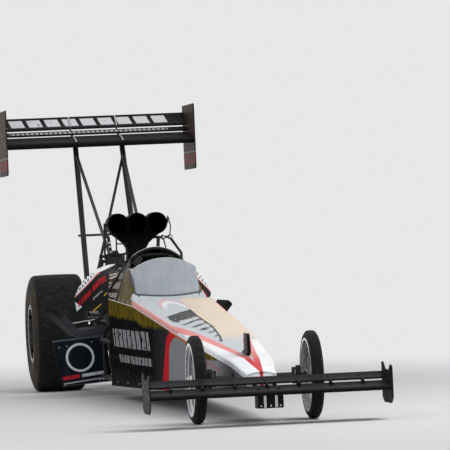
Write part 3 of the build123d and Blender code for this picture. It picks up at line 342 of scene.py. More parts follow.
def cowl_paint():
    """Cockpit cowl: light top ahead of the glass, ochre flanks, and worn blocks on a dark rear."""
    s = Shade("cowl_paint")
    drip = s.noise(9, 4, 0.65, s.scaled(1, 1, 0.5))
    gold = s.mix(s.step(drip, 0.5, 0.12), (0.15, 0.105, 0.022), (0.07, 0.05, 0.012))
    grey_foot = s.curve(s.y, [(-0.09, 0.7), (0.2, 0.76), (0.4, 0.8)])
    top_grey = ~s.step(s.y, 0.16, 0.004) & s.step(s.z - grey_foot, 0, 0.003)
    flank = s.mix(s.step(s.z, 0.92, 0.05), gold, (0.13, 0.085, 0.05))
    rear = s.mix(s.step(drip, 0.5, 0.05), BLACK, (0.045, 0.03, 0.016))
    blocks = printed_column(s) & s.band(s.y, 0.93, 1.33, 0.004)
    top_black = s.step(s.z - s.curve(s.y, [(0.4, 0.95), (0.8, 1.015), (1.36, 0.93)]), 0, 0.004)
    trim = s.band(abs(s.x), 0.214, 0.2235, 0.001) & s.step(s.z, 0.76, 0.01) & s.band(s.y, 0, 0.8, 0.01)
    colour = s.layers(
        flank, (s.step(s.y, 0.9, 0.003), rear), (blocks * 0.95, PRINT),
        (s.band(s.y, 0.795, 0.9, 0.003), BLACK), (top_grey, DECK_GREY), (top_black, (0.01, 0.01, 0.011)),
        # Faces that look inwards are painted near-black as shade
        (trim, BLACK), (s.inside(0.7), PAINTED_SHADE_BLACK))
    return paint_gloss(s, colour, 0.3, 0.4, 0.01)


def carbon(name, weave=260, tone=0.004, coat=0, rough=0.45, level=0.08):
    """Black twill in resin."""
    s = Shade(name)
    u = (s.x + s.z * 0.6) * weave
    v = (s.y + s.z * 0.8) * weave
    over = s.step(((u + v) * 0.5).sin(), 0, 0.4)
    threads = s.mix(over, (tone, tone, tone * 1.08), (tone * 2.6, tone * 2.6, tone * 2.8))
    dirt = s.specks(0.62, 0.1, 6, 4, 0.7) * 0.2
    return s.finish(s.mix(dirt, threads, (0.02, 0.019, 0.018)),
                    s.spread(s.noise(18, 4, 0.6), rough - 0.1, rough + 0.14), 0,
                    s.bump(over, 0.0002, 0.25), level, Coat_Weight=coat, Coat_Roughness=0.08)


def metal(name, colour, rough=0.3, along="y", dirt=0.2):
    """Bare metal with a grain, fine scratches and grime in patches."""
    s = Shade(name)
    stretch = [0.06 if axis == along else 1 for axis in "xyz"]
    lines = s.noise(480, 3, 0.7, s.scaled(*stretch))
    grime = s.specks(0.58, 0.14, 9, 5, 0.7) * dirt
    tone = s.mix(s.spread(lines, 0, 0.5), colour, darker(colour, 0.72))
    return s.finish(s.mix(grime, tone, (0.05, 0.045, 0.04)),
                    s.remap(lines, 0.25, 0.75, rough * 0.8, rough * 1.25), 1, s.bump(lines, 0.0002, 0.2))


def cast(name, colour, rough=0.5, dirt=0.4, metallic=0.7):
    """Sand-cast metal: pebbled, oily and stained by heat."""
    s = Shade(name)
    grain = s.noise(330, 4, 0.6)
    stain = s.specks(0.52, 0.16, 7, 5, 0.65) * dirt
    oil = s.specks(0.6, 0.05, 17, 4, 0.7, s.scaled(1, 1, 0.35)) * dirt
    tone = s.mix(s.spread(grain, 0, 0.4), colour, darker(colour, 0.6))
    tone = s.layers(tone, (stain, darker(colour, 0.4)), (oil, (0.025, 0.02, 0.015)))
    return s.finish(tone, s.remap(oil, 0, dirt + 0.01, rough, rough * 0.5), metallic,
                    s.bump(grain, 0.0006, 0.5))


def tube_paint(name, colour=(0.01, 0.01, 0.011)):
    """Powder-coated tube, rubbed and dusty."""
    s = Shade(name)
    chips = s.specks(0.7, 0.02, 90, 4, 0.75) * 0.5
    dust = s.remap(s.noise(5, 4, 0.7), 0.4, 0.75, 0, 0.22)
    tone = s.layers(colour, (dust, (0.1, 0.092, 0.08)), (chips, (0.2, 0.2, 0.21)))
    return s.finish(tone, s.remap(dust, 0, 0.22, 0.38, 0.6), 0, s.bump(s.noise(260, 2), 0.0002, 0.4), 0.25)


def rubber(name, radius, axle_y, half_track, width, dirt, depth):
    """Tyre rubber: grained tread, turned rings on the wall and dried track grime."""
    s = Shade(name)
    r = hypot(s.y - axle_y, s.z - radius)
    tread = s.step(r, radius - 0.02, 0.004)
    wall = s.step(abs(abs(s.x) - half_track), width * 0.4, 0.006) & ~tread
    grain = s.noise(240, 4, 0.7, s.scaled(2.4, 1, 1))
    scar = s.noise(60, 3, 0.7, s.scaled(0.25, 1, 1))
    dusty = s.specks(0.47, 0.12, 4.5, 5, 0.75, warp=0.6)
    brown = s.mix(s.specks(0.56, 0.06, 38, 4, 0.8), (0.085, 0.06, 0.036), (0.04, 0.031, 0.023))
    base = s.mix(s.remap(grain, 0.35, 0.65), (0.006, 0.006, 0.007), (0.014, 0.0135, 0.014))
    tone = s.layers(base, (wall & dusty * dirt, brown),
                    (tread * s.step(scar, 0.58, 0.05) * 0.3, (0.06, 0.056, 0.052)))
    height = tread * (grain * 0.8 + scar * 0.6) + wall * (r * 1100).sin() * 0.12
    return s.finish(tone, s.spread(grain, 0.55, 0.85), 0, s.bump(height, depth, 0.7), 0.12)


def glass_paint():
    """Hazy scratched windshield with a dark seal along its foot."""
    s = Shade("windshield_haze")
    foot = s.curve(abs(s.x), [(0, 0.757), (0.06, 0.762), (0.12, 0.752), (0.17, 0.754), (0.24, 0.77)])
    seal = ~s.step(s.z - foot, 0.004, 0.002)
    streak = s.noise(6, 4, 0.6, s.scaled(5, 1, 0.5))
    haze = s.remap(streak, 0.35, 0.7, 0.66, 0.76)
    tone = s.mix(s.remap(s.noise(3, 4, 0.6), 0.3, 0.7), (0.32, 0.355, 0.4), (0.44, 0.475, 0.51))
    scratch = s.bump(s.noise(300, 3, 0.7, s.scaled(1, 0.2, 1)), 0.0001, 0.3)
    return s.finish(s.mix(seal, tone, (0.1, 0.11, 0.12)), s.spread(streak, 0.14, 0.26), 0, scratch,
                    Alpha=haze | seal, Coat_Weight=0.5)


def header_paint():
    """Steel pipe stained by heat, blue and straw near the head and grey with soot at the mouth."""
    s = Shade("header_steel")
    heat = s.remap(s.z, 0.42, 0.8)
    tint = s.layers((0.1, 0.075, 0.05), (s.band(heat, 0.1, 0.25, 0.08), (0.045, 0.042, 0.065)),
                    (s.step(heat, 0.22, 0.1), (0.034, 0.036, 0.044)),
                    (s.step(heat, 0.5, 0.07), (0.004, 0.004, 0.004)))
    lines = s.noise(90, 4, 0.7)
    tone = s.mix(s.remap(lines, 0.35, 0.7, 0, 0.5), tint, (0.045, 0.042, 0.04))
    return s.finish(tone, s.spread(lines, 0.34, 0.55), 0.3, s.bump(lines, 0.0003, 0.3), 0.04)


def deflector_paint():
    """Navy-black panel with a plain ring over two plain bars, painted highlights along its top and foot
    edges, and rubbed specks.
    """
    s = Shade("deflector_paint")
    side = abs(s.x)
    circle = s.band(hypot(side - 0.404, s.z - 0.285), 0.093, 0.111, 0.001)
    slope = s.z + (side - 0.555) * 0.1136
    red = s.band(slope, 0.112, 0.14, 0.001) & s.band(side, 0.415, 0.545, 0.001)
    pale = s.band(slope, 0.114, 0.138, 0.001) & s.band(side, 0.215, 0.398, 0.001)
    thin = s.band(slope, 0.079, 0.089, 0.001) & s.band(side, 0.215, 0.54, 0.001)
    # Lighter bands along the top and foot edges are painted highlights
    top = s.step(s.z + (side - 0.611) * 0.0747, 0.4085, 0.001)
    foot = ~s.step(s.z + (side - 0.551) * 0.0725, 0.0725, 0.001)
    rubbed = s.specks(0.62, 0.03, 25, 4, 0.7, s.scaled(1, 1, 0.3)) * 0.35
    colour = s.layers(
        NAVY, (circle * 0.9, WHITE), (pale * 0.85, WHITE), (thin * 0.6, WHITE), (red, RED),
        (top * 0.8, (0.1, 0.115, 0.16)), (foot * 0.6, (0.07, 0.07, 0.09)), (rubbed, (0.035, 0.035, 0.04)))
    return paint_gloss(s, colour, 0.38, 0.5, 0.06)


def flare_paint():
    """Shoulder flare: white upper edge with dark ticks, black face with a red bar of dashes."""
    s = Shade("flare_paint")
    side = abs(s.x)
    # The printed line that parts white from black, as seen from ahead, and how far a point is above it
    rise = s.z - s.curve(side, [(0.15, 1.03), (0.217, 0.989), (0.347, 0.936), (0.537, 0.747), (0.6, 0.684)])
    foot = ~s.step(s.z - side * 0.825, 0.3004, 0.002) & s.step(side + s.z * 1.026, 1.1777, 0.002)
    white = s.step(rise, 0, 0.002) | foot
    pin = s.band(rise, -0.01, 0, 0.001) & s.step(side, 0.33, 0.004)
    ticks = s.step((side * 290 + s.noise(14, 2) * 3).sin(), -0.1, 0.3) & s.band(rise, 0.01, 0.024, 0.002)
    low_ticks = s.step((side * 310 + s.noise(19, 2) * 4).sin(), 0.1, 0.3) & s.band(rise, 0.034, 0.048, 0.002)
    ticks = (ticks | low_ticks) & s.band(side, 0.37, 0.5, 0.006)
    groups = s.band(side, 0.297, 0.396, 0.002) | s.band(side, 0.407, 0.493, 0.002)
    blocks = groups & s.band((side * 46).frac(), 0.12, 0.94, 0.05) & s.specks(0.4, 0.03, 60, 2, 0.6)
    dashes = blocks & s.band(rise - (0.45 - side) * 0.125, -0.1, -0.06, 0.004)
    slope = s.z + side * 0.97
    yellow = s.band(slope, 1.036, 1.047, 0.002) & s.band(side, 0.347, 0.402, 0.003)
    yellow = yellow | s.band(slope, 1.078, 1.089, 0.002) & s.band(side, 0.292, 0.324, 0.003)
    bits = s.band(rise, -0.152, -0.134, 0.002) & s.specks(0.55, 0.02, 75, 2, 0.6)
    bits = bits & s.band(side, 0.33, 0.4, 0.004)
    reach = s.curve(s.z, [(0.8, 0.292), (0.868, 0.28), (0.92, 0.268), (0.972, 0.252)])
    root = ~s.step(side - reach, 0, 0.003) & ~s.step(s.z, 0.955, 0.003)
    colour = s.layers(
        (0.005, 0.005, 0.006), (white, WHITE), (ticks, (0.02, 0.02, 0.02)), (pin, SALMON),
        (dashes, (0.42, 0.006, 0.012)), (yellow, (0.55, 0.38, 0.01)), (bits, (0.4, 0.4, 0.4)),
        (root, (0.03, 0.02, 0.014)), (root & printed_column(s), PRINT))
    return paint_gloss(s, colour, 0.3, 0.5, 0.06)


def wing_paint(name, top_grey, printed=False):
    """Black wing skin, lighter grey in patches on faces that look up. The printed one has a row of plain
    blocks over one of small bars.
    """
    s = Shade(name)
    up = s.facing()[2]
    dust = s.remap(s.noise(7, 5, 0.7, s.scaled(1, 2, 1)), 0.3, 0.7, 0.5, 1)
    chips = s.specks(0.66, 0.03, 120, 4, 0.7) * 0.2
    # Faces that look up are lighter grey in noisy patches
    tone = s.layers(BLACK, (s.step(up, 0.35, 0.2) * dust, top_grey), (chips, (0.12, 0.12, 0.12)))
    if printed:
        large = s.band((s.x * 6.8 + s.z * 2.2).frac(), 0.12, 0.88, 0.015) & s.band(s.z, 2.13, 2.19, 0.002)
        large = large & s.band(s.x, -0.715, 0.625, 0.002)
        small = s.step((s.x * 26).frac(), 0.3, 0.03) & s.band(s.z, 2.066, 2.083, 0.001)
        small = small & s.band(s.x, -0.7, 0.6, 0.002)
        worn = s.specks(0.36, 0.03, 14, 4, 0.75)
        tone = s.mix((large | small * 0.7) & s.step(up, 0.4, 0.05) & worn, tone, (0.62, 0.63, 0.65))
    weave = (s.x * 700).sin() * (s.y * 700).sin()
    return s.finish(tone, s.remap(dust, 0.5, 1, 0.34, 0.5), 0, s.bump(weave, 0.0001, 0.2), 0.015)


def plate_paint(name, colour, stain):
    """End plate: tinted sheet with worn print and dried dirt."""
    s = Shade(name)
    speck = s.specks(0.55, 0.06, 26, 5, 0.75)
    tone = s.layers(s.mix(speck * 0.6, colour, stain),
                    (s.band(s.z, 1.775, 1.86, 0.002) * 0.75, (0.16, 0.025, 0.022)),
                    (s.band(s.z, 1.868, 1.878, 0.001) * 0.6, (0.35, 0.33, 0.32)))
    return s.finish(tone, 0.45, 0, s.bump(s.noise(60, 3), 0.0003, 0.2), 0.03)


def plain(name, colour, rough, metallic=0, grain=180, depth=0.0003, spread=0.3, level=None):
    """A surface with fine grain and a slow change of tone."""
    s = Shade(name)
    fine = s.noise(grain, 3, 0.6)
    tone = s.mix(s.spread(s.noise(8, 4, 0.6), 0, spread), colour, darker(colour, 0.55))
    return s.finish(tone, s.spread(fine, rough * 0.85, rough * 1.15), metallic,
                    s.bump(fine, depth, 0.4), level)


def rim_paint():
    """Front rim: polished barrel and lip round a dark disc with worn flecks."""
    s = Shade("front_rim_metal")
    disc = s.band(hypot(s.y - AXLE_Y + WHEELBASE, s.z - FRONT_RADIUS), 0.058, 0.196, 0.002)
    flecks = s.specks(0.6, 0.05, 40, 3, 0.6) * 0.3
    tone = s.layers((0.78, 0.79, 0.81), (disc * 0.97, (0.02, 0.02, 0.022)),
                    (disc & flecks, (0.06, 0.06, 0.064)))
    lines = s.noise(260, 3, 0.6)
    return s.finish(tone, s.spread(lines, 0.16, 0.3), 0.9, s.bump(lines, 0.0001, 0.2))


def fabric(name, colour, thread=520, rough=0.9):
    """Plain-woven nylon."""
    s = Shade(name)
    weave = (s.x * thread).sin() * (s.y * thread + s.z * thread).sin()
    fade = s.spread(s.noise(5, 4, 0.6), 0, 0.35)
    tone = s.mix(fade, colour, tuple(c * 1.6 + 0.01 for c in colour))
    return s.finish(tone, rough, 0, s.bump(weave, 0.0006, 0.6), Sheen_Weight=0.3)


def floor_paint():
    """Pale floor that takes the shadow and fades to the backdrop's tone far from the car."""
    s = Shade("studio_floor")
    far = s.remap(hypot(s.x / 2, s.y / 5.6), 0.9, 2.3, kind="SMOOTHSTEP")
    tone = s.mix(s.noise(3, 3), (0.6, 0.6, 0.605), (0.64, 0.64, 0.64))
    s.finish(tone, 0.95, 0, s.bump(s.noise(60, 3), 0.0004, 0.3), 0)
    lit = s.out.inputs[0].links[0].from_socket
    glow = s.made("ShaderNodeEmission", {"Color": BACKDROP})
    s.put(s.out.inputs[0], s.made("ShaderNodeMixShader", {"Fac": far, 1: lit, 2: glow}))
    return s.material


# Materials by the CAD node or the look that they belong to
M = {
    "nose_cowl": deck_paint(), "side_panel": side_paint(), "cockpit_cowl": cowl_paint(),
    "windshield": glass_paint(), "headers": header_paint(), "tyre_deflector": deflector_paint(),
    "shoulder_flare": flare_paint(), "front_rim": rim_paint(), "injector_hat": carbon("carbon_twill"),
    "tube": tube_paint("frame_powder_coat"),
    "wing_stand": tube_paint("strut_powder_coat", (0.012, 0.011, 0.016)),
    "polished": metal("polished_rim", (0.82, 0.83, 0.85), 0.12, "none", 0.08),
    "dark_steel": metal("dark_steel", (0.06, 0.06, 0.064), 0.42, "x", 0.3),
    "alloy": metal("machined_alloy", (0.55, 0.56, 0.58), 0.32, dirt=0.25),
    "steel": metal("bright_steel", (0.46, 0.46, 0.48), 0.26, "z"),
    "clutch_can": metal("clutch_titanium", (0.3, 0.29, 0.28), 0.4, "none", 0.4),
    "cylinder_head": metal("head_alloy", (0.16, 0.16, 0.165), 0.38, dirt=0.5),
    "chute_shelf": metal("shelf_sheet", (0.4, 0.41, 0.42), 0.4, "x", 0.4),
    "magnesium": cast("black_magnesium", (0.035, 0.035, 0.038), 0.45, 0.4, 0.5),
    "engine_block": cast("block_casting", (0.1, 0.1, 0.102), 0.42, 0.6),
    "axle_housing": cast("axle_casting", (0.11, 0.11, 0.115), 0.5, 0.5),
    "front_wing": wing_paint("front_wing_skin", (0.022, 0.022, 0.024)),
    "rear_wing": wing_paint("rear_wing_skin", (0.018, 0.018, 0.02), printed=True),
    "wing_plate": plate_paint("wing_plate_tint", (0.028, 0.018, 0.014), (0.075, 0.045, 0.03)),
    "front_wing_plate": plate_paint("front_plate_tint", (0.012, 0.0115, 0.012), (0.05, 0.045, 0.04)),
    "rear_tyre": rubber("slick_rubber", REAR_RADIUS, AXLE_Y, REAR_HALF_TRACK, 0.44, 0.6, 0.0012),
    "front_tyre": rubber("front_rubber", FRONT_RADIUS, AXLE_Y - WHEELBASE, FRONT_HALF_TRACK, 0.076, 0.2,
                         0.0008),
    "wheelie_wheels": plain("wheelie_urethane", (0.02, 0.02, 0.022), 0.6),
    "black": plain("fin_black", (0.005, 0.005, 0.006), 0.4, level=0.08),
    "ballast_box": plain("box_black", (0.006, 0.006, 0.007), 0.45, level=0.08),
    "belly_pan": plain("belly_sheet", (0.05, 0.05, 0.052), 0.5, 0.4),
    "seal": plain("trim_rubber", (0.012, 0.012, 0.013), 0.55, level=0.25),
    "foot": plain("screen_foot", (0.085, 0.098, 0.112), 0.45, spread=0.15, level=0.2),
    "lip": plain("screen_lip", (0.5, 0.53, 0.55), 0.3, spread=0.15),
    "loom": plain("loom_sleeve", (0.018, 0.018, 0.02), 0.7, grain=900, depth=0.0008, level=0.3),
    "seat": carbon("seat_carbon", 200, 0.01, 0.2, 0.4, 0.3),
    "scoop": carbon("scoop_carbon", 330, 0.002, 0, 0.5, 0.04),
    "pack": fabric("pack_nylon", (0.012, 0.012, 0.014)),
    "webbing": fabric("black_webbing", (0.014, 0.014, 0.016), 1400, 0.8),
    "pad": fabric("pad_cover", (0.02, 0.02, 0.022), 1100, 0.85),
}
# Nodes that share a look
SHARED = {
    "frame_front": "tube", "roll_cage": "tube", "frame_rear": "tube", "wheelie_bar": "tube",
    "axle_shaft": "steel", "steering_column": "steel", "front_axle": "dark_steel", "tie_rod": "dark_steel",
    "knuckle": "dark_steel", "supercharger": "magnesium", "blower_drive": "alloy", "nose_fin": "black",
    "rear_rim": "polished", "parachute_pack": "pack",
}


# Looks of the CAD nodes


def soft_edges():
    """A node group that welds a CAD mesh and shades it smooth up to a sharp angle."""
    group = bpy.data.node_groups.new("soft_edges", "GeometryNodeTree")
    for way in ("INPUT", "OUTPUT"):
        group.interface.new_socket("Geometry", in_out=way, socket_type="NodeSocketGeometry")
    enter, leave, weld, smooth, store, angle, sharp = (group.nodes.new(kind) for kind in (
        "NodeGroupInput", "NodeGroupOutput", "GeometryNodeMergeByDistance", "GeometryNodeSetShadeSmooth",
        "GeometryNodeStoreNamedAttribute", "GeometryNodeInputMeshEdgeAngle", "FunctionNodeCompare"))
    weld.inputs["Distance"].default_value = 0.00002
    sharp.data_type, sharp.operation = "FLOAT", "GREATER_THAN"
    sharp.inputs[1].default_value = math.radians(32)
    store.data_type, store.domain = "BOOLEAN", "EDGE"
    store.inputs["Name"].default_value = "sharp_edge"
    for source, socket in (
            (enter.outputs[0], weld.inputs["Geometry"]), (weld.outputs[0], smooth.inputs["Geometry"]),
            (smooth.outputs[0], store.inputs["Geometry"]), (angle.outputs["Unsigned Angle"], sharp.inputs[0]),
            (sharp.outputs[0], store.inputs["Value"]), (store.outputs[0], leave.inputs[0])):
        group.links.new(source, socket)
    return group


SOFT = soft_edges()

for name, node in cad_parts.items():
    for attribute in [a for a in node.data.attributes if a.name == "custom_normal"]:
        node.data.attributes.remove(attribute)
    look = name.replace("_left", "").replace("_right", "")
    node.data.materials.clear()
    node.data.materials.append(M[SHARED.get(look, look)])
    node.modifiers.new("weld", "NODES").node_group = SOFT
    edge = node.modifiers.new("edge", "BEVEL")
    edge.width, edge.segments = 0.0012, 2
    edge.limit_method, edge.angle_limit = "ANGLE", math.radians(35)


# Pieces that the looks add


def placed(name, data):
    """A new object in the scene."""
    thing = bpy.data.objects.new(name, data)
    bpy.context.scene.collection.objects.link(thing)
    return thing


def circle(count, start=0):
    """Cosine and sine of evenly spaced turns."""
    return [(math.cos(a), math.sin(a)) for a in (math.tau * k / count + start for k in range(count))]


def heading(points, n):
    """The way a path runs at one of its points."""
    return (points[min(n + 1, len(points) - 1)] - points[max(n - 1, 0)]).normalized()


class Build:
    """A mesh put together from tubes, turned forms, plates and straps."""

    def __init__(self):
        self.verts = []
        self.faces = []

    def skin(self, rows):
        """A closed skin over rings of points."""
        count, base = len(rows[0]), len(self.verts)
        self.verts += [Vector(p) for row in rows for p in row]
        for a in range(base, len(self.verts) - count, count):
            for k in range(count):
                n = (k + 1) % count
                self.faces.append((a + k, a + n, a + count + n, a + count + k))
        self.faces.append(tuple(reversed(range(base, base + count))))
        self.faces.append(tuple(range(len(self.verts) - count, len(self.verts))))
        return self

    def tube(self, points, radius, sides=10):
        points = [Vector(p) for p in points]
        radii = radius if isinstance(radius, list) else [radius] * len(points)
        rows, side = [], None
        for n, (p, r) in enumerate(zip(points, radii)):
            ahead = heading(points, n)
            side = side or ahead.orthogonal()
            side = (side - ahead * side.dot(ahead)).normalized()
            rise = ahead.cross(side)
            rows.append([p + (side * c + rise * s) * r for c, s in circle(sides)])
        return self.skin(rows)

    def turned(self, place, axis, profile, sides=24):
        """A form turned about an axis, from (distance along it, radius) points."""
        place, axis = Vector(place), Vector(axis).normalized()
        side = axis.orthogonal().normalized()
        rise = axis.cross(side)
        return self.skin([[place + axis * along + (side * c + rise * s) * r for c, s in circle(sides)]
                          for along, r in profile])

    def bolt(self, place, axis, radius=0.008, height=0.005):
        """A small hexagon head on a washer."""
        self.turned(place, axis, [(0, radius * 1.3), (height * 0.2, radius * 1.3)], 16)
        self.turned(place, axis, [(0, radius), (height * 0.85, radius), (height, radius * 0.85)], 6)

    def fastener(self, place, axis, radius=0.009):
        """A quarter-turn fastener: a low dish with a raised middle."""
        rows = ((-0.001, 1), (0.0012, 1), (0.002, 0.8), (0.0012, 0.62), (0.0022, 0.5), (0.0026, 0.2))
        self.turned(place, axis, [(along, radius * share) for along, share in rows], 16)

    def plate(self, outline, thick):
        return self.skin([outline, [p + Vector(thick) for p in outline]])

    def strap(self, points, width, thick, across):
        """A flat band along points, as wide as said in a direction across."""
        points = [Vector(p) for p in points]
        rows = []
        for n, p in enumerate(points):
            ahead = heading(points, n)
            wide = Vector(across)
            wide = (wide - ahead * wide.dot(ahead)).normalized() * width / 2
            rise = ahead.cross(wide).normalized() * thick / 2
            rows.append([p + wide + rise, p - wide + rise, p - wide - rise, p + wide - rise])
        return self.skin(rows)

    def mirrored(self):
        """The same forms again on the other side of the car."""
        base = len(self.verts)
        self.verts += [Vector((-v.x, v.y, v.z)) for v in self.verts]
        self.faces += [tuple(base + i for i in reversed(face)) for face in self.faces]
        return self

    def done(self, name, look, body="chassis", bevel=0, angle=34):
        mesh = bpy.data.meshes.new(name)
        mesh.from_pydata(self.verts, [], self.faces)
        work = bmesh.new()
        work.from_mesh(mesh)
        bmesh.ops.recalc_face_normals(work, faces=work.faces)
        work.to_mesh(mesh)
        work.free()
        mesh.materials.append(M[look])
        mesh.shade_smooth()
        mesh.set_sharp_from_angle(angle=math.radians(angle))
        piece = placed(name, mesh)
        if bevel:
            soft = piece.modifiers.new("edge", "BEVEL")
            soft.width, soft.segments, soft.limit_method = bevel, 2, "ANGLE"
        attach(piece, body)
        return piece


def at(x, station, z):
    """A point by its station from the rear axle."""
    return Vector((x, AXLE_Y + station, z))


def line(table, value):
    """Straight lines through a table's rows, all columns after the first."""
    rows = list(zip(table, table[1:]))
    a, b = next((pair for pair in rows if value <= pair[1][0]), rows[-1])
    share = (value - a[0]) / (b[0] - a[0])
    return [p + (q - p) * share for p, q in zip(a[1:], b[1:])]


def arc_height(x, half, edge, top):
    """Height at x on the arc from (-half, edge) over (0, top)."""
    sag = top - edge
    radius = (half * half + sag * sag) / (2 * sag)
    return top - radius + math.sqrt(radius * radius - x * x)


def both_sides(half):
    """A path that ends on the car's middle line, and its mirror image back from there."""
    return half + [Vector((-p.x, p.y, p.z)) for p in reversed(half[:-1])]


def squared(x, y, power):
    """A point of a unit circle pushed out towards a square's corners."""
    return math.copysign(abs(x) ** power, x), math.copysign(abs(y) ** power, y)


def wheel_ring(middle, radius, count, start=0):
    """Points round an axle."""
    return [middle + Vector((0, c, s)) * radius for c, s in circle(count, start)]


# Rows of station, half width and two heights of the body (deck, belly) and of the cowl (shoulder, crown)
BODY = ((-7.95, 0.095, 0.322, 0.215), (-7.56, 0.14, 0.397, 0.178), (-6.1, 0.222, 0.535, 0.15),
        (-3.7, 0.292, 0.747, 0.115), (-2.25, 0.3, 0.79, 0.095))
COWL = ((-3.7, 0.276, 0.735, 0.747), (-3.56, 0.262, 0.742, 0.757), (-3.07, 0.241, 0.944, 1.01),
        (-2.8, 0.207, 1.008, 1.113), (-2.25, 0.2, 0.925, 1.05))
# Heights and stations of the windshield, then stations of the hoop, firewall, engine and throttle shaft
GLASS_FOOT, GLASS_CORNER, GLASS_TOP = 0.742, 0.96, 1.036
GLASS_NOSE, GLASS_TURN, GLASS_END, GLASS_LEAN = -3.57, -3.5, -3.07, 0.255
GLASS_HALF = 0.233
HOOP, FIREWALL = -2.797, -2.262
ENGINE, CRANK_Z = -1.72, 0.38
LOBE_GAP, SHAFT, SHAFT_Z, TOGGLE_Z, LEAF_LEAN = 0.146, -1.738, 1.297, 1.186, 0.35


def cowl_height(station, x):
    return arc_height(x, *line(COWL, station))


def glass_point(x, z):
    """A point on the leaning front of the glass."""
    share = (z - GLASS_FOOT) / (GLASS_TOP - GLASS_FOOT)
    bow = GLASS_TURN - GLASS_NOSE
    radius = (GLASS_HALF ** 2 + bow ** 2) / (2 * bow)
    return at(x, GLASS_NOSE + GLASS_LEAN * share + radius - math.sqrt(radius ** 2 - x * x), z)


def by_shaft(x, station, z):
    """A point by its station from the throttle shaft."""
    return at(x, SHAFT + station, z)


def by_crank(side, along, reach, shift):
    """A point on a bank of cylinders: reach out from the crank, shift outwards across the head."""
    lean = math.sqrt(0.5)
    return at(side * (reach * lean + shift * lean), ENGINE + along, CRANK_Z + reach * lean - shift * lean)


def cockpit_trim():
    """Rubber round the glass's foot, a pale lip along its top, a pale strip along the roll's top that is a
    painted highlight, and the roll round the opening.
    """
    glass_xs, hoop_xs = (0.2, 0.15, 0.1, 0.05, 0), (0.16, 0.12, 0.08, 0.04, 0)
    side = [at(0.2345, s, cowl_height(s, 0.2335) + 0.002)
            for s in (GLASS_END, -3.18, -3.29, -3.4, GLASS_TURN + 0.016)]
    front = [glass_point(x, 0.762) + AHEAD * 0.002 for x in (0.225, *glass_xs)]
    for p in front:
        p.z = cowl_height(p.y - AXLE_Y, abs(p.x)) + 0.003
    Build().tube(both_sides(side + front), 0.0075, 8).done("windshield_seal", "foot")
    top = [at(GLASS_HALF - 0.003, s, GLASS_CORNER) for s in (GLASS_END + 0.002, -3.19)]
    top += [glass_point(x, arc_height(x, GLASS_HALF, GLASS_CORNER, GLASS_TOP) - 0.001)
            for x in (0.229, *glass_xs)]
    # A thin pale tube along the top of the hoop's roll, a painted highlight
    hoop_highlight = [at(x, HOOP - 0.006, cowl_height(HOOP, x) + 0.0055) for x in (0.175, *hoop_xs)]
    Build().tube(both_sides(top), 0.0034, 8).tube(both_sides(hoop_highlight), 0.0025, 8).done("windshield_lip", "lip")
    path = [at(x, s, cowl_height(s, x) - 0.004) for s, x in ((-3.06, 0.2245), (-2.93, 0.206), (-2.83, 0.192))]
    path += [at(x, HOOP, cowl_height(HOOP, x) - 0.006) for x in (0.185, *hoop_xs)]
    radii = [0.006, 0.006, 0.008] + [0.013] * 11 + [0.008, 0.006, 0.006]
    Build().tube(both_sides(path), radii).done("cockpit_rim_roll", "seal")


def edge_seals():
    """Rubber along the cowl's rear edge, the wall that closes it and the thick sleeve of the nose fin."""
    edge = ((0.15, 0.994), (0.186, 0.951), (0.204, 0.925), (0.236, 0.88), (0.268, 0.835), (0.302, 0.788))
    Build().tube([at(x, -2.244, z) for x, z in edge], 0.01).mirrored().done("cowl_edge_seals", "seal")
    arch = [(x, arc_height(x, *COWL[-1][1:]) - 0.003) for x in (0.192 - n * 0.024 for n in range(17))]
    wall = ((0.27, 0.8), *arch, (-0.27, 0.8), (-0.28, 0.6), (0.28, 0.6))
    Build().plate([at(x, FIREWALL, z) for x, z in wall], (0, 0.003, 0)).done("firewall", "black")
    rows = [[at(across * thick * (1 + 0.25 * along) * 0.8, -7.392 - along * half, z)
             for along, across in circle(28)]
            for z, half, thick in ((0.424, 0.083, 0.02), (0.46, 0.078, 0.019), (0.52, 0.068, 0.017),
                                   (0.546, 0.063, 0.015), (0.5505, 0.06, 0.011))]
    Build().skin(rows).done("nose_fin_sleeve", "black")


def nose_cap():
    """Closed front of the nose between the rails, and the ballast box's bolts and straps."""
    rows = [[at(x * 0.089 * share, -7.936 - ahead, 0.2675 + z * 0.0475 * share)
             for x, z in (squared(*p, 0.4) for p in circle(48))]
            for share, ahead in ((1, 0), (0.97, 0.006), (0.86, 0.012), (0.6, 0.017), (0.3, 0.019),
                                 (0.05, 0.02))]
    Build().skin([[p + Y * 0.02 for p in rows[0]]] + rows).done("nose_cap", "nose_cowl")
    low, high = (Vector(c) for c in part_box("ballast_box"))
    trim = Build()
    for x in (low.x + 0.02, (low.x + high.x) / 2, high.x - 0.02):
        for z in (low.z + 0.015, high.z - 0.015):
            trim.bolt((x, low.y - 0.0004, z), AHEAD, 0.0045, 0.003)
    for x in (low.x + 0.045, high.x - 0.045):
        trim.strap([(x, low.y - 0.0008, z) for z in (low.z + 0.004, high.z - 0.004)], 0.016, 0.0016, X)
    trim.done("ballast_trim", "alloy")


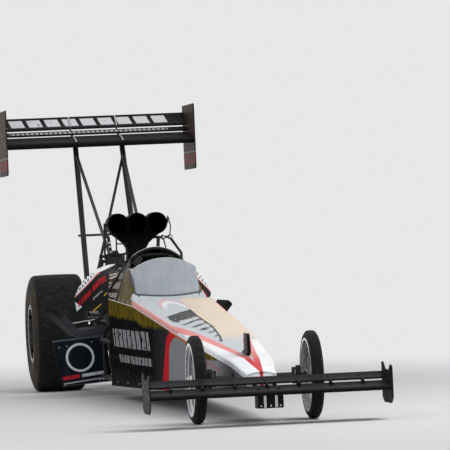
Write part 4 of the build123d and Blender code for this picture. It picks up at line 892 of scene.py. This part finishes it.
def fasteners():
    """Quarter-turn fasteners along the seams of the body, and screws in the flat panels."""
    studs, screws = Build(), Build()
    for n in range(12):
        station = -7.75 + n * 0.355
        half, deck, _ = line(BODY, station)
        studs.fastener(at(half, station, deck - 0.032), X)
    for station in (-3.62, -3.4, -3.15, -2.9, -2.65, -2.4):
        half, deck, _ = line(BODY, station)
        shoulder, height, _ = line(COWL, station)
        rise = Vector((shoulder - half, 0, height - deck + 0.045)).normalized()
        studs.fastener(at(half, station, deck - 0.045) + rise * 0.02, (rise.z, 0, -rise.x))
    for n in range(9):
        station = -7.6 + n * 0.62
        half, _, belly = line(BODY, station)
        studs.fastener(at(half, station, belly + 0.03), X, 0.008)
    for x in (0.06, 0.16, 0.24):
        studs.fastener(at(x, -3.725, arc_height(x, 0.276, 0.733, 0.7455)), Z, 0.008)
    studs.mirrored().done("body_fasteners", "alloy")
    lean = math.tan(math.radians(8))
    for x, z in ((0.307, 0.401), (0.501, 0.376), (0.563, 0.368), (0.26, 0.105), (0.535, 0.078)):
        screws.bolt(at(x, -1.0532 + (z - 0.262) * lean, z), AHEAD, 0.006, 0.004)
    screws.mirrored().done("deflector_screws", "steel")


def wheels():
    """Nuts, caps, valve stems, bead-lock bolts and discs that ride on their wheels, and the calipers."""
    for side, word in SIDES:
        hub, axle, out = Build(), at(side * FRONT_HALF_TRACK, -WHEELBASE, FRONT_RADIUS), Vector((side, 0, 0))
        hub.turned(axle + out * 0.038, out, [(0, 0.024), (0.01, 0.024), (0.016, 0.02), (0.018, 0.01)])
        for spot in wheel_ring(axle, 0.046, 6):
            hub.bolt(spot, out, 0.006, 0.008)
        hub.tube([axle + Vector((side * 0.012, 0, 0.2)), axle + Vector((side * 0.032, 0, 0.186))], 0.0035, 8)
        hub.done(f"front_hub_cap_{word}", "alloy", f"front_wheel_{word}")
    lock, disc, grip = Build(), Build(), Build()
    for side in (-1, 1):
        out, inner = Vector((side, 0, 0)), at(side * 0.3843, 0, REAR_RADIUS)
        for spot in wheel_ring(at(side * 0.678, 0, REAR_RADIUS), 0.2185, 24):
            lock.bolt(spot, out, 0.0048, 0.004)
        for spot in wheel_ring(inner, 0.0635, 5, 0.3):
            lock.turned(spot, out, [(0, 0.013), (0.018, 0.013), (0.018, 0.01), (0.03, 0.009),
                                    (0.032, 0.005)], 6)
        lock.turned(inner, out, [(0, 0.04), (0.02, 0.036), (0.034, 0.022), (0.036, 0.008)], 32)
        stem = (0.66, 0.205), (0.672, 0.19)
        lock.tube([at(side * x, 0, REAR_RADIUS + z) for x, z in stem], 0.004, 8)
        disc.turned(at(0, 0, REAR_RADIUS), out, [
            (0.3535, 0.083), (0.3535, 0.128), (0.3575, 0.128), (0.3575, 0.083), (0.3535, 0.083)], 64)
        for n, (c, s) in enumerate(circle(24)):
            spot = at(side * 0.3575, 0, REAR_RADIUS) + Vector((0, c, s)) * (0.098 + 0.018 * (n % 2))
            disc.bolt(spot, out, 0.002, 0.0008)
    lock.done("rear_wheel_nuts", "steel", "rear_wheels")
    disc.done("brake_discs", "steel", "rear_wheels")
    for lift in (-0.03, 0.03):
        grip.turned(at(0.326, 0.142, REAR_RADIUS + lift), X, [(0, 0.022), (0.022, 0.022), (0.024, 0.018)], 20)
    for x, thick, corners in ((0.316, 0.03, ((0.128, 0.4), (0.165, 0.4), (0.165, 0.528), (0.128, 0.528))),
                              (0.318, 0.008, ((0.05, 0.44), (0.14, 0.42), (0.14, 0.508), (0.05, 0.488)))):
        grip.plate([at(x, station, z) for station, z in corners], (thick, 0, 0))
    grip.mirrored().done("brake_calipers", "alloy", bevel=0.002)


def scoop():
    """The air scoop: three lobes that lean forward over a narrow throat on the blower."""
    rows = []
    for z, half, front, back, power in (
            (0.956, 0.105, -1.785, -1.498, 6), (0.968, 0.105, -1.785, -1.498, 6),
            (0.972, 0.09, -1.755, -1.512, 5), (1, 0.08, -1.735, -1.515, 4), (1.06, 0.075, -1.72, -1.52, 4),
            (1.115, 0.078, -1.712, -1.53, 4), (1.15, 0.1, -1.705, -1.54, 4), (1.185, 0.14, -1.705, -1.55, 4),
            (1.215, 0.18, -1.71, -1.556, 4), (1.25, 0.2, -1.715, -1.56, 4), (1.3, 0.205, -1.72, -1.565, 4),
            (1.335, 0.19, -1.715, -1.575, 4), (1.352, 0.165, -1.7, -1.59, 3)):
        middle, reach = (front + back) / 2, (back - front) / 2
        rows.append([at(x * half, middle + y * reach, z)
                     for x, y in (squared(*p, 2 / power) for p in circle(48))])
    body, rivets = Build().skin(rows), Build()
    for n in (-1, 0, 1):
        body.turned(at(n * LOBE_GAP, -1.79, SHAFT_Z), Y, [
            (0, 0.0755), (-0.004, 0.0785), (0, 0.0825), (0.014, 0.083), (0.17, 0.083), (0.205, 0.078),
            (0.228, 0.062), (0.238, 0.035), (0.241, 0.004), (0.12, 0.004), (0.118, 0.07), (0.11, 0.075),
            (0, 0.0755)], 56)
    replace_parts(body.done("scoop_body", "scoop", angle=40), "injector_hat")
    for k in range(5):
        for side in (-1, 1):
            rivets.bolt(at(side * 0.0985, -1.765 + k * 0.061, 0.968), Z, 0.0035, 0.004)
    rivets.done("scoop_bolts", "steel")


def intake():
    """Butterflies and linkage of the air scoop, stays of the pipes, and the fuel block with its hoses."""
    leaf, arm, block, balls = (Build() for _ in range(4))
    for n in (-1, 0, 1):
        middle = at(n * LOBE_GAP, SHAFT, SHAFT_Z)
        leaf.turned(middle, (0, -math.cos(LEAF_LEAN), math.sin(LEAF_LEAN)),
                    [(0, 0.071), (0.002, 0.073), (0.004, 0.071)], 40)
        for k in (-1, 1):
            leaf.bolt(middle + Vector((k * 0.02, -0.005, 0.001)), (0, -1, 0.3), 0.003, 0.002)
    leaf.tube([at(-0.25, SHAFT, SHAFT_Z), at(0.243, SHAFT, SHAFT_Z)], 0.0055, 12)
    leaf.done("throttle_blades", "magnesium")

    arm.turned(at(-0.252, SHAFT, SHAFT_Z), X, [(0, 0.012), (0.008, 0.014), (0.018, 0.01)], 16)
    for radius, sides, *path in (
            (0.006, 10, (0.236, 0, SHAFT_Z), (0.238, 0, 1.343)),
            (0.0045, 10, (0.242, 0, 1.341), (0.262, 0.03, 1.272), (0.256, 0.06, TOGGLE_Z)),
            (0.0095, 10, (0.07, 0.06, 1.19), (0.27, 0.06, TOGGLE_Z)),
            (0.014, 10, (0.168, 0.06, TOGGLE_Z), (0.16, 0.05, 1.09), (0.13, 0.05, 0.95)),
            (0.0055, 10, (0.205, 0.06, TOGGLE_Z), (0.222, 0.05, 1.1), (0.15, 0.02, 0.93)),
            (0.0105, 10, (0.256, 0.06, TOGGLE_Z), (0.335, 0.02, 1.06), (0.33, 0, 0.8), (0.215, 0, 0.7)),
            (0.0085, 10, (-0.246, 0, 1.305), (-0.254, 0, 1.047), (-0.15, 0, 0.93)),
            (0.009, 10, (-0.254, 0, 1.067), (-0.14, 0, 1.067), (-0.065, 0.02, 1.077)),
            (0.012, 12, (-0.222, 0, 1.205), (-0.205, 0, 1.075)),
            (0.006, 10, (-0.16, 0, 1.205), (-0.165, 0, 1.065)),
            (0.005, 10, (-0.165, 0, 1.15), (-0.075, 0.02, 1.148)),
            (0.0055, 10, (-0.255, 0, 1.135), (-0.205, 0, 1.14)),
            (0.01, 12, (-0.254, 0, 1.206), (-0.214, 0, 1.206))):
        arm.tube([by_shaft(*p) for p in path], radius, sides)
    for x in (0.203, 0.256):
        arm.turned(by_shaft(x, 0.062, TOGGLE_Z), AHEAD, [(0, 0.017), (0.008, 0.019)], 20)
    arm.done("throttle_linkage", "tube")
    stay = [at(0.545, -1.895, 0.562), at(0.44, -1.87, 0.575), at(0.3, -1.85, 0.59)]
    Build().tube(stay, 0.006).mirrored().done("header_stays", "polished")

    outline = ((-0.1, 0.985), (-0.1, 1.072), (-0.228, 1.08), (-0.246, 1.055), (-0.246, 0.975), (-0.15, 0.97))
    block.plate([by_shaft(x, 0.01, z) for x, z in outline], (0, 0.085, 0))
    block.turned(by_shaft(-0.17, 0.05, 1.07), Z, [(0, 0.034), (0.012, 0.034), (0.014, 0.026), (0.03, 0.024)])
    for z, reach in ((1.055, 0.052), (1.018, 0.044)):
        block.turned(by_shaft(-0.24, 0.045, z), (-1, 0, 0.15),
                     [(0, 0.012), (reach * 0.5, 0.012), (reach * 0.5, 0.016), (reach, 0.014)], 10)
    for x, foot in ((-0.12, 0.93), (-0.094, 1.02)):
        block.tube([by_shaft(x - 0.01, 0.05, 1), by_shaft(x + 0.02, 0.055, foot)], 0.01)
    for x, z, foot in ((-0.278, 1.05, 0.9), (-0.268, 1.016, 0.88)):
        hose = ((x, 0.045, z), (x - 0.012, 0.046, z - 0.05), (x + 0.02, 0.05, foot), (-0.205, 0.055, 0.8),
                (-0.185, 0.055, 0.72))
        block.tube([by_shaft(*p) for p in hose], 0.011, 12)
    block.done("fuel_block", "magnesium", bevel=0.003)
    for x in (-0.115, -0.225):
        for z in (0.996, 1.06):
            balls.bolt(by_shaft(x, 0.0105, z), AHEAD, 0.005, 0.004)
    for x in (0.203, 0.256):
        balls.turned(by_shaft(x, 0.053, TOGGLE_Z), AHEAD, [(0, 0.004), (0.002, 0.009), (0.009, 0.0125),
                                                           (0.016, 0.01), (0.019, 0.004)], 20)
    balls.turned(by_shaft(0.239, 0.004, 1.345), AHEAD,
                 [(0, 0.005), (0.004, 0.009), (0.012, 0.009), (0.015, 0.004)], 16)
    for x, z in ((-0.213, 1.16), (-0.212, 1.13), (-0.206, 1.09)):
        balls.turned(by_shaft(x, -0.004, z), AHEAD, [(0, 0.01), (0.012, 0.01), (0.014, 0.007)], 6)
    balls.done("linkage_joints", "polished")


def engine():
    """Magnetos, plug looms, fuel rails, case bolts and the blower's restraint straps."""
    mags, loom, rail, lines, bolts, straps = (Build() for _ in range(6))
    for side in (-1, 1):
        foot, up = at(side * 0.085, -2.02, 0.615), Vector((side * 0.25, -0.12, 1)).normalized()
        spin = up.orthogonal().normalized()
        mags.turned(foot, up, [(0, 0.03), (0.02, 0.03), (0.026, 0.048), (0.11, 0.05), (0.118, 0.044),
                               (0.14, 0.042), (0.152, 0.03)], 28)
        for c, s in circle(8):
            mags.turned(foot + up * 0.14 + (spin * c + up.cross(spin) * s) * 0.03, up,
                        [(0, 0.007), (0.018, 0.006), (0.022, 0.003)], 10)
        out = Vector((side, 0, 1)) * math.sqrt(0.5)
        loom.tube([at(side * 0.12, -2.03, 0.76), at(side * 0.24, -2.09, 0.74),
                   by_crank(side, -0.33, 0.4, 0.092), by_crank(side, 0.3, 0.4, 0.092)], 0.012, 12)
        for along in (-0.24, -0.08, 0.08, 0.24):
            for step in (-0.025, 0.025):
                loom.tube([by_crank(side, along + step, reach, shift) for reach, shift in
                           ((0.402, 0.094), (0.372, 0.104), (0.335, 0.088))], [0.005, 0.006, 0.008])
            for shift in (-0.078, 0.078):
                for step in (-0.06, 0.06):
                    bolts.bolt(by_crank(side, along + step, 0.357, shift), out, 0.008, 0.01)
            cap = [(0, 0.016), (0.006, 0.016), (0.008, 0.012)]
            bolts.turned(by_crank(side, along, 0.442, 0), out, cap, 6)
            feed = [at(side * x, ENGINE + along, z) for x, z in ((0.118, 0.975), (0.165, 0.93), (0.175, 0.8))]
            lines.tube(feed + [by_crank(side, along, 0.372, -0.088)], 0.004, 8)
        rail.tube([at(side * 0.112, -1.99, 0.975), at(side * 0.112, -1.4, 0.975)], 0.011, 14)
        rail.tube([at(side * x, s, z) for x, s, z in ((0.112, -1.4, 0.975), (0.14, -1.33, 0.93),
                                                      (0.15, -1.31, 0.6), (0.13, -1.33, 0.52))], 0.009, 12)
        for n in range(9):
            bolts.bolt(at(side * 0.1455, -1.9 + n * 0.068, 0.748), (side, 0, 0), 0.006, 0.008)
    mags.done("magnetos", "magnesium")
    loom.done("plug_looms", "loom")
    rail.done("fuel_rails", "alloy")
    lines.done("nozzle_lines", "steel")
    bolts.done("engine_bolts", "steel")
    for station in (-1.86, -1.47):
        path = [at(x, station, z) for x, z in ((0.148, 0.745), (0.1565, 0.8), (0.1565, 0.885), (0.145, 0.93),
                                               (0.11, 0.9585), (0, 0.9585))]
        straps.strap(both_sides(path), 0.048, 0.003, Y)
    straps.done("blower_straps", "webbing")


def cockpit():
    """Seat liner, head rest, padded cage bars, harness and the grips of the steering wheel."""
    foot, top = at(0, -2.568, 0.1675), at(0, -2.377, 0.775)
    lean = (top - foot).normalized()
    ahead = Vector((0, -lean.z, lean.y))
    middle = foot + lean * 0.3 + ahead * 0.021
    cushion("seat_back_pad", "pad", middle, (0.158, 0.3, 0.019), (X, lean, ahead))
    cushion("seat_base_pad", "pad", at(0, -2.755, 0.192), (0.158, 0.165, 0.02))
    cushion("head_rest", "pad", at(0, -2.445, 0.925), (0.115, 0.028, 0.07))
    foam = Build().tube([at(0.176, -2.735, 0.941), at(0.173, -2.435, 0.907)], 0.03, 20)
    foam.tube([at(0.16, -2.77, 0.985), at(0.11, -2.77, 1.05)], 0.028, 20)
    foam.mirrored().done("cage_bar_pads", "pad", bevel=0.006)

    bars, belts, grips = Build(), Build(), Build()
    for x in (-0.12, 0.12):
        bars.tube([at(x, -2.445, 0.945), at(x, -2.4, 0.955)], 0.007)
    bars.tube([at(-0.168, -2.4, 0.955), at(0.168, -2.4, 0.955)], 0.01, 12).done("head_rest_bars", "tube")
    for side in (-1, 1):
        chest = ((0.61, 0.03, 0.075), (0.5, 0.052, 0.075), (0.36, 0.056, 0.07), (0.22, 0.06, 0.05),
                 (0.1, 0.085, 0.02))
        belts.strap([foot + lean * h + ahead * d + Vector((side * x, 0, 0)) for h, d, x in chest],
                    0.06, 0.0025, X)
        lap = (0.165, -2.62, 0.2), (0.13, -2.64, 0.232), (0.06, -2.66, 0.243), (0.01, -2.665, 0.243)
        belts.strap([at(side * x, s, z) for x, s, z in lap], 0.05, 0.0025, (0, 0.4, 1))
    belts.done("harness", "webbing")
    buckle = [(0, 0.032), (0.008, 0.034), (0.014, 0.03), (0.018, 0.012)]
    Build().turned(at(0, -2.668, 0.247), (0, -0.5, 1), buckle, 28).done("harness_buckle", "alloy")

    low, high = at(0.11, -3.08, 0.6445), at(0.135, -3.06, 0.7345)
    grips.tube([low.lerp(high, t) for t in (0.18, 0.22, 0.6, 0.96, 1.02)],
               [0.012, 0.0165, 0.0175, 0.0165, 0.01], 18)
    for n in range(7):
        grips.tube([low.lerp(high, 0.3 + n * 0.1), low.lerp(high, 0.33 + n * 0.1)], 0.0185, 18)
    grips.mirrored().done("steering_grips", "seal")


def wings():
    """Bolts in the end plates and light caps on the rear wing's ribs."""
    bolts, ribs = Build(), Build()
    for station, z in ((0.5, 1.968), (0.6, 1.985), (0.7, 2.006), (0.78, 2.03), (0.83, 2.06), (0.9, 2.078),
                       (0.95, 2.112), (1.03, 2.155), (1.09, 2.195)):
        bolts.bolt(at(0.7699, station, z), X, 0.007, 0.002)
    for station, z in ((-8.32, 0.205), (-8.24, 0.216), (-8.17, 0.228), (-8.1, 0.262), (-8.03, 0.284)):
        bolts.bolt(at(0.756, station, z), X, 0.006, 0.004)
    bolts.mirrored().done("wing_bolts", "steel")
    for x in (-0.19, 0.19):
        for cap in (((0.475, 1.9655), (0.6, 2.006), (0.79, 2.0395)),
                    ((0.925, 2.104), (1.01, 2.16), (1.1, 2.2075))):
            ribs.strap([at(x, station, z) for station, z in cap], 0.011, 0.007, X)
    ribs.done("wing_rib_caps", "alloy")


def rear_end():
    """Axle case bolts, packed parachutes with their straps, and the risers down to the frame."""
    bolts = Build()
    for c, s in circle(14):
        bolts.bolt(at(0, -0.35, REAR_RADIUS) + Vector((c, 0, s)) * 0.083, AHEAD, 0.006, 0.006)
        for side in (-1, 1):
            bolts.bolt(at(side * 0.0905, 0, REAR_RADIUS) + Vector((side * 0.012, c * 0.146, s * 0.146)),
                       (side * 0.7, c * 0.7, s * 0.7), 0.007, 0.006)
    bolts.done("axle_case_bolts", "steel")
    around = ((1, -0.86), (1, 0), (0.97, 0.86), (0.86, 0.99), (0, 1.03), (-0.86, 0.99), (-0.97, 0.86),
              (-1, 0), (-1, -0.86))
    over = ((-1, -0.8), (-1, 0), (-0.95, 0.9), (-0.8, 1.02), (0, 1.035), (0.8, 1.02), (0.95, 0.9), (1, 0),
            (1, -0.8))
    for side, word in SIDES:
        low, high = (Vector(c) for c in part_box(f"parachute_pack_{word}"))
        middle, half = (low + high) / 2, (high - low) / 2
        pack = cushion(f"packed_parachute_{word}", "pack", middle - Z * 0.0055,
                       (half.x - 0.01, half.y - 0.012, half.z - 0.0055), swell=0.008, power=5)
        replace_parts(pack, f"parachute_pack_{word}")
        bands = Build()
        for y in (-0.085, 0.085):
            bands.strap([middle + Vector((a * (half.x + 0.001), y, b * (half.z - 0.002))) for a, b in around],
                        0.032, 0.0022, Y)
        bands.strap([middle + Vector((0, a * (half.y + 0.001), b * (half.z - 0.001))) for a, b in over],
                    0.028, 0.0022, X)
        bands.done(f"pack_straps_{word}", "webbing")
        riser = [middle + Vector((0, 0.004 - half.y, -0.04)),
                 middle + Vector((side * 0.02, -half.y - 0.02, -0.075)),
                 at(side * 0.16, 0.2, 0.598), at(side * 0.19, 0.165, 0.585)]
        Build().strap(riser, 0.034, 0.003, X).done(f"pack_riser_{word}", "webbing")


def cushion(name, look, middle, half, axes=(X, Y, Z), swell=0.006, power=4):
    """A closed rounded block, inflated as cloth. Swell caps how far any of its points may move."""
    a, b, c = axes
    rows, steps = [], 12
    for n in range(steps + 1):
        turn = math.pi * n / steps - math.pi / 2
        wide, up = squared(math.cos(turn), math.sin(turn), 0.35)
        wide = wide if 0 < n < steps else 0.05
        rows.append([middle + a * (x * half[0] * wide) + b * (y * half[1] * wide) + c * (up * half[2])
                     for x, y in (squared(*p, 0.35) for p in circle(32))])
    piece = Build().skin(rows).done(name, look)
    remesh = piece.modifiers.new("remesh", "REMESH")
    remesh.mode, remesh.voxel_size = "VOXEL", 0.008
    apply_all(piece)
    inflate(piece, swell, power)
    finer = piece.modifiers.new("finer", "SUBSURF")
    finer.levels = finer.render_levels = 1
    apply_all(piece)
    piece.data.shade_smooth()
    return piece


def inflate(piece, swell, power):
    """Lets pressure swell a piece for a few steps of cloth."""
    scene, steps = bpy.context.scene, 20
    rest = [v.co.copy() for v in piece.data.vertices]
    cloth = piece.modifiers.new("cloth", "CLOTH")
    cloth.settings.quality = 5
    cloth.settings.use_pressure = True
    cloth.settings.uniform_pressure_force = power
    cloth.settings.effector_weights.gravity = 0
    cloth.settings.shrink_min = -0.03
    cloth.collision_settings.use_collision = False
    cloth.point_cache.frame_start, cloth.point_cache.frame_end = 1, steps
    for n in range(1, steps + 1):
        scene.frame_set(n)
    apply_all(piece)
    scene.frame_set(1)
    for v, start in zip(piece.data.vertices, rest):
        move = v.co - start
        if move.length > swell:
            v.co = start + move.normalized() * swell


def apply_all(piece):
    """Bakes a piece's modifiers into its mesh."""
    graph = bpy.context.evaluated_depsgraph_get()
    mesh = bpy.data.meshes.new_from_object(piece.evaluated_get(graph))
    piece.modifiers.clear()
    piece.data = mesh


for build in (cockpit_trim, edge_seals, nose_cap, fasteners, wheels, scoop, intake, engine, cockpit, wings,
              rear_end):
    build()


# Camera, light and floor

CAMERA = (-4.0012, -31.7559, 1.1705)
FORWARD = Vector((0.13775, 0.99046, 0.00256)).normalized()
YAW, ROLL = math.radians(7.9176), math.radians(-2.5261)

level = Vector((math.cos(YAW), -math.sin(YAW), 0))
rise = level.cross(FORWARD)
right = level * math.cos(ROLL) + rise * math.sin(ROLL)
up = rise * math.cos(ROLL) - level * math.sin(ROLL)
camera = placed("camera", bpy.data.cameras.new("camera"))
camera.matrix_world = Matrix.Translation(CAMERA) @ Matrix((right, up, -FORWARD)).transposed().to_4x4()
camera.data.lens = 356.66
camera.data.sensor_width = 36
camera.data.clip_end = 400
bpy.context.scene.camera = camera

# The world is the backdrop to whatever shows it and a dimmer light to the rest
world = bpy.data.worlds.new("studio")
bpy.context.scene.world = world
world.use_nodes = True
tree = world.node_tree
path, seen, shown, shade = (
    tree.nodes.new(f"ShaderNode{kind}") for kind in ("LightPath", "Math", "Math", "Mix"))
seen.operation = shown.operation = "MAXIMUM"
shade.data_type = "RGBA"
shade.inputs[6].default_value = (0.3, 0.31, 0.33, 1)
shade.inputs[7].default_value = (*BACKDROP, 1)
for source, socket in (
        (path.outputs["Is Camera Ray"], seen.inputs[0]), (path.outputs["Is Glossy Ray"], seen.inputs[1]),
        (seen.outputs[0], shown.inputs[0]), (path.outputs["Is Transmission Ray"], shown.inputs[1]),
        (shown.outputs[0], shade.inputs["Factor"]), (shade.outputs[2], tree.nodes["Background"].inputs[0])):
    tree.links.new(source, socket)

for name, place, aim, size, power, colour in (
        ("key", (4.5, -5, 8.5), (0, 0, 0.5), (7, 12), 1050, (1, 0.98, 0.95)),
        ("fill", (-7.5, -9, 4), (0, -1, 0.5), (6, 10), 330, (0.94, 0.97, 1)),
        ("rim", (-3, 10, 6.5), (0, 2, 1), (8, 5), 350, (1, 1, 1))):
    lamp = placed(name, bpy.data.lights.new(name, "AREA"))
    lamp.data.shape = "RECTANGLE"
    lamp.data.size, lamp.data.size_y = size
    lamp.data.energy, lamp.data.color = power, colour
    lamp.location = place
    lamp.rotation_mode = "QUATERNION"
    lamp.rotation_quaternion = (Vector(aim) - Vector(place)).to_track_quat("-Z", "Y")
    lamp.visible_glossy = False

floor = placed("floor", bpy.data.meshes.new("floor"))
floor.data.from_pydata([(-90, -90, 0), (90, -90, 0), (90, 160, 0), (-90, 160, 0)], [], [(0, 1, 2, 3)])
floor.data.materials.append(floor_paint())

bpy.context.scene.view_settings.view_transform = "Standard"
